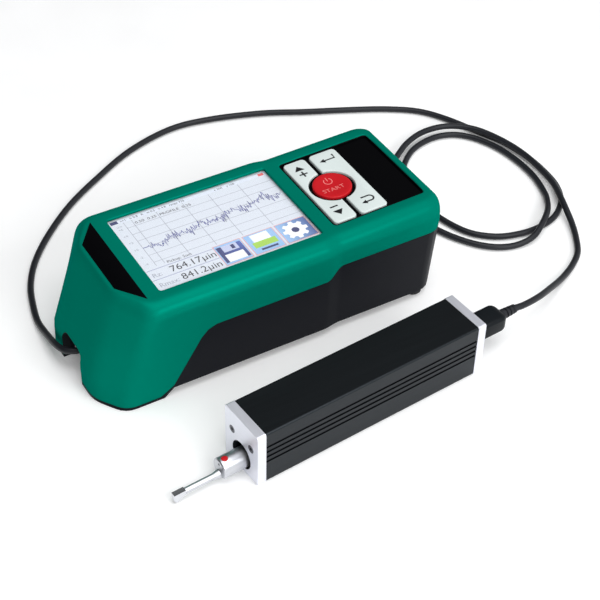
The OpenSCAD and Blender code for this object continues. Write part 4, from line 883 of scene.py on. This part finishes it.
def add_key_marks():
    """Black signs on the white keys: triangles with plus and minus, an enter arrow and a return arrow."""
    marks = Ink(KEY_TOP + KEY_PRINT)
    marks.patch([[4.1, 15.9], [8.9, 15.9], [6.5, 19.2]], KEY_INK, 0)
    marks.box(4.6, 12.6, 8.6, 13.4, KEY_INK, 0)
    marks.box(6.2, 11.0, 7.0, 15.0, KEY_INK, 1)
    marks.box(4.4, -13.4, 8.2, -12.6, KEY_INK, 0)
    marks.patch([[4.2, -15.7], [6.6, -19.0], [9.0, -15.7]], KEY_INK, 0)
    marks.add("up_down_signs", from_panel, PRINT, "up_down")
    marks = Ink(KEY_TOP + KEY_PRINT)
    marks.band([[24.6, 19.4], [24.6, 16.6], [18.4, 16.6]], SIGN_LINE, KEY_INK, 0)
    marks.patch([[17.0, 16.6], [19.6, 15.2], [19.6, 18.0]], KEY_INK, 1)
    hook = np.linspace(np.pi / 2, -np.pi / 2, 13)
    loop = 1.7 * unit_circle(hook) + [22.8, -15.6]
    marks.band(np.vstack([[[19.2, -13.9]], loop, [[19.4, -17.3]]]), SIGN_LINE, KEY_INK, 0)
    marks.patch([[18.0, -17.3], [20.4, -18.6], [20.4, -16.0]], KEY_INK, 1)
    marks.add("enter_return_signs", from_panel, PRINT, "enter_return")


def on_dish(points):
    """Flat points laid a hair over the start button's hollow face."""
    away = np.hypot(points[:, 0] - START_U, points[:, 1])
    return from_panel(np.column_stack([points[:, :2], dish(away) + START_PRINT]))


def add_start_marks():
    """The power sign, an open circle with a bar, and the word on the red button's hollow face."""
    marks = Ink()
    turn = np.radians(np.linspace(128.0, 412.0, 29))
    ring = 1.9 * unit_circle(turn) + [START_U - 0.2, 3.3]
    marks.band(ring, 0.45, START_INK, 0)
    marks.box(START_U - 0.42, 3.4, START_U + 0.02, 5.8, START_INK, 0)
    marks.words("START", START_U - 6.1, -3.6, 3.4, START_INK, 0, 1.08)
    marks.add("start_signs", on_dish, PRINT, "start")


# The picture's colours, and its layout in shares of the lit area, u to the right and v to the back.
PAPER, STRIP, GREY, LABEL = (0.66, 0.70, 0.77), (0.70, 0.74, 0.84), (0.33, 0.35, 0.42), (0.02, 0.02, 0.03)
BLUE, NAVY, DEEP, SKY = (0.035, 0.04, 0.28), (0.010, 0.015, 0.12), (0.05, 0.11, 0.34), (0.30, 0.50, 0.78)
TILE_EDGE, RULE, PALE = (0.70, 0.36, 0.36), (0.25, 0.27, 0.45), (0.88, 0.89, 0.92)
DISK_SHADE = [(0.02, 0.03, 0.16), (0.02, 0.03, 0.16), (0.06, 0.11, 0.42), NAVY]
LIT_INSET, PAPER_UNDER, WORDS_LAYER, DISPLAY_GAP = np.array([1.3, 2.1]), 1.5, 4, 0.02
AXIS_U, ZERO_V = 0.072, 0.56
GRID_U, GRID_V = (AXIS_U, 0.122, 0.277, 0.445, 0.612, 0.806), (0.35, 0.45, ZERO_V, 0.665, 0.765, 0.865)
TILES = ((0.408, 0.582, SKY), (0.594, 0.788, SKY), (0.800, 0.998, [SKY, DEEP, DEEP, SKY]))
BOXES = [
    (0.0, 0.955, 1.0, 1.0, STRIP, 1), (0.0, 0.958, 0.045, 1.0, NAVY, 2),
    (0.955, 0.962, 0.99, 0.996, (0.75, 0.10, 0.10), 2),
    *((u - 0.0016, 0.30, u + 0.0016, 0.95, GREY, 2) for u in GRID_U),
    *((AXIS_U, v - 0.0022, 1.0, v + 0.0022, GREY, 2) for v in GRID_V),
    *((0.0, v - 0.003, 0.405, v + 0.003, RULE, 3) for v in (0.265, 0.135)),
    *((u0, 0.010, u1, 0.285, TILE_EDGE, 2) for u0, u1, _ in TILES),
    *((u0 + 0.005, 0.018, u1 - 0.005, 0.277, shade, 3) for u0, u1, shade in TILES),
    (0.420, 0.040, 0.572, 0.255, DISK_SHADE, 4), (0.450, 0.172, 0.545, 0.255, (0.50, 0.54, 0.74), 5),
    (0.505, 0.188, 0.526, 0.242, NAVY, 6), (0.440, 0.040, 0.553, 0.140, (0.84, 0.85, 0.88), 5),
    (0.635, 0.160, 0.745, 0.265, (0.84, 0.90, 0.97), 4),
    (0.620, 0.090, 0.765, 0.165, (0.35, 0.60, 0.06), 5), (0.645, 0.045, 0.750, 0.068, NAVY, 5)]
# Text, place, size in mm, colour and stretch.
WORDS = [
    ("n=1   lc 0.8   R   vt 0.5   lt 4.8   range 320", 0.06, 0.965, 1.8, LABEL, 1.0),
    ("x 200    y 100", 0.66, 0.965, 1.8, LABEL, 1.0), ("um", 0.020, 0.90, 1.9, GREY, 1.0),
    ("0.50  0.25  PROFILE  0.25", 0.13, 0.885, 2.2, LABEL, 1.15),
    *((f"{(v - ZERO_V) * 20:+.0f}", 0.018, v - 0.012, 1.9, GREY, 1.0) for v in GRID_V),
    ("Pickup: 5um", 0.135, 0.285, 2.3, LABEL, 1.0), ("Rz:", 0.012, 0.168, 3.6, GREY, 1.0),
    ("764.17µin", 0.122, 0.166, 5.3, LABEL, 1.0), ("Rmax:", 0.012, 0.034, 3.6, GREY, 1.0),
    ("841.2µin", 0.150, 0.034, 5.3, LABEL, 1.0)]
GEAR_AT, GEAR_R, GEAR_HOLE = (0.895, 0.150), 4.4, 1.7
# A tooth's corners: distance from the gear's middle and from the tooth's own middle line.
TOOTH = np.array([[3.6, -1.3], [5.7, -0.9], [5.7, 0.9], [3.6, 1.3]])


def trace():
    """A roughness trace over the screen's width: a slow rise plus a seeded, uneven flutter."""
    dice = np.random.default_rng(7)
    u = np.linspace(0.105, 0.985, 230)
    slow = 0.555 + 0.125 * (u - 0.1) / 0.88
    swell = 0.014 * np.sin(u * 31.0) + 0.010 * np.sin(u * 57.0 + 1.0)
    flutter = dice.normal(0.0, 0.034, len(u)) * (0.6 + 0.6 * np.abs(np.sin(u * 19.0)))
    return pair(u, slow + swell + flutter)


def on_screen(uv):
    """Shares of the lit area to x and y in the display unit's frame."""
    span = np.array([SCREEN_LEN, SCREEN_W]) - LIT_INSET
    return np.asarray(uv, float) * span + LIT_INSET + [SCREEN_X, -SCREEN_W / 2]


def on_display(points):
    """Points over the screen's opening laid a hair over the display module."""
    return from_tester(points + [0.0, 0.0, HEIGHT - SCREEN_RECESS - PANE_T + DISPLAY_GAP])


def add_screen():
    """The lit picture: title strip, axes, grid, trace, two result rows and three icon tiles."""
    art = Ink()
    art.box(SCREEN_X - PAPER_UNDER, -SCREEN_W / 2 - PAPER_UNDER, SCREEN_X + SCREEN_LEN + PAPER_UNDER,
            SCREEN_W / 2 + PAPER_UNDER, PAPER, 0)
    for u0, v0, u1, v1, colour, layer in BOXES:
        art.box(*on_screen([u0, v0]), *on_screen([u1, v1]), colour, layer)
    for text, u, v, size, colour, stretch in WORDS:
        art.words(text, *on_screen([u, v]), size, colour, WORDS_LAYER, stretch)
    art.band(on_screen([[AXIS_U, 0.558], [0.105, 0.556]]), 0.35, BLUE, 4)
    art.band(on_screen(trace()), 0.26, BLUE, 5)
    middle = on_screen(GEAR_AT)
    for a in np.radians(np.arange(8) * 45.0):
        axes = np.array([[np.cos(a), np.sin(a)], [-np.sin(a), np.cos(a)]])
        art.patch(middle + TOOTH @ axes, PALE, 4)
    art.disc(*middle, GEAR_R, PALE, 5)
    art.disc(*middle, GEAR_HOLE, NAVY, 6)
    art.add("screen_picture", on_display, LIT, "base")


def add_screen_pane():
    """The clear pane over the picture: a thin slab with a softened upper edge."""
    left, right = SCREEN_X - PANE_UNDER, SCREEN_X + SCREEN_LEN + PANE_UNDER
    half, top = SCREEN_W / 2 + PANE_UNDER, HEIGHT - SCREEN_RECESS
    rings = np.array([at_height(round_rect(left + by, by - half, right - by, half - by, 1.0, 4), top - down)
                      for by, down in ((0.0, 0.5), (0.0, 0.12), (0.12, 0.0))])
    pane = add_piece("screen_pane", from_tester(rings), capped(rings), PANE, "base")
    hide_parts("display_glass")


# Finishes of the pieces that keep their own shape

FINISH_OF = {
    BLACK: ["bottom_housing", "cable_socket", "drive_socket", "pickup_holder"],
    GLOSS_BLACK: ["keypad_panel"], SCREEN_BODY: ["display_module"],
    BOARD: ["keypad_board", "main_board", "drive_board"],
    CHIP: ["board_chips"], WRAP: ["battery_pack"], RUBBER: ["rubber_feet"],
    STEEL: ["key_switches", "board_screws", "housing_screws", "guide_rods", "screw_bearings", "lead_screw",
            "motor_shaft", "skid", "lever_pivot", "stylus_lever", "stylus_tip"],
    DARK_STEEL: ["plate_screws", "zero_screw"],
    PLATE: ["front_plate", "rear_plate", "screw_bracket", "motor_bracket", "gear_motor", "carriage"],
    TURNED: ["pickup_body", "pickup_nose"], TUBE_BLACK: ["drive_housing"],
    BRASS: ["shaft_coupling", "rod_bushings", "drive_nut", "contact_pins", "sensor_coil"],
    SHEATH: ["drive_relief", "port_relief"],
}


def paint_nodes():
    """Each piece that keeps its own shape takes its finish in every material slot."""
    for material, names in FINISH_OF.items():
        for slot in chain.from_iterable(NODES[name].material_slots for name in names):
            slot.material = material


def soften_facets(node, angle_deg):
    """Joins a piece's loose triangles and shades it smooth, but for edges that turn more than the angle."""
    tree = bpy.data.node_groups.new("soft_facets", "GeometryNodeTree")
    for way in ("INPUT", "OUTPUT"):
        tree.interface.new_socket("Geometry", in_out=way, socket_type="NodeSocketGeometry")
    start, end = tree.nodes.new("NodeGroupInput"), tree.nodes.new("NodeGroupOutput")
    joined = new_node(start, "GeometryNodeMergeByDistance", Distance=JOIN)
    bare = new_node(start, "GeometryNodeRemoveAttribute", Name="custom_normal")
    smooth = new_node(start, "GeometryNodeSetShadeSmooth")
    steep = new_node(start, "FunctionNodeCompare", B=np.radians(angle_deg))
    crisp = new_node(start, "GeometryNodeSetShadeSmooth", Shade_Smooth=False)
    crisp.domain = "EDGE"
    link(new_node(start, "GeometryNodeInputMeshEdgeAngle"), "Unsigned Angle", steep, "A")
    link(steep, "Result", crisp, "Selection")
    steps = [start, joined, bare, smooth, crisp, end]
    for before, after in zip(steps, steps[1:]):
        link(before, "Geometry", after, "Geometry")
    NODES[node].modifiers.new("soft_facets", "NODES").node_group = tree


add_camera()
add_cable()
add_index_dot()
add_bore_shade_sheet()
add_studio()
add_upper_shell()
add_port_shade_sheet()
add_badge()
add_keypad_rim()
add_key("up_down_cap", "up_down_key", "up_down", KEY_MARGIN, KEY_MARGIN + LEFT_KEY_W)
add_key("enter_return_cap", "enter_return_key", "enter_return", RIGHT_KEY_U, RIGHT_KEY_U + RIGHT_KEY_W)
add_start_button()
add_key_marks()
add_start_marks()
add_screen()
add_screen_pane()
paint_nodes()
soften_facets("bottom_housing", 28.0)
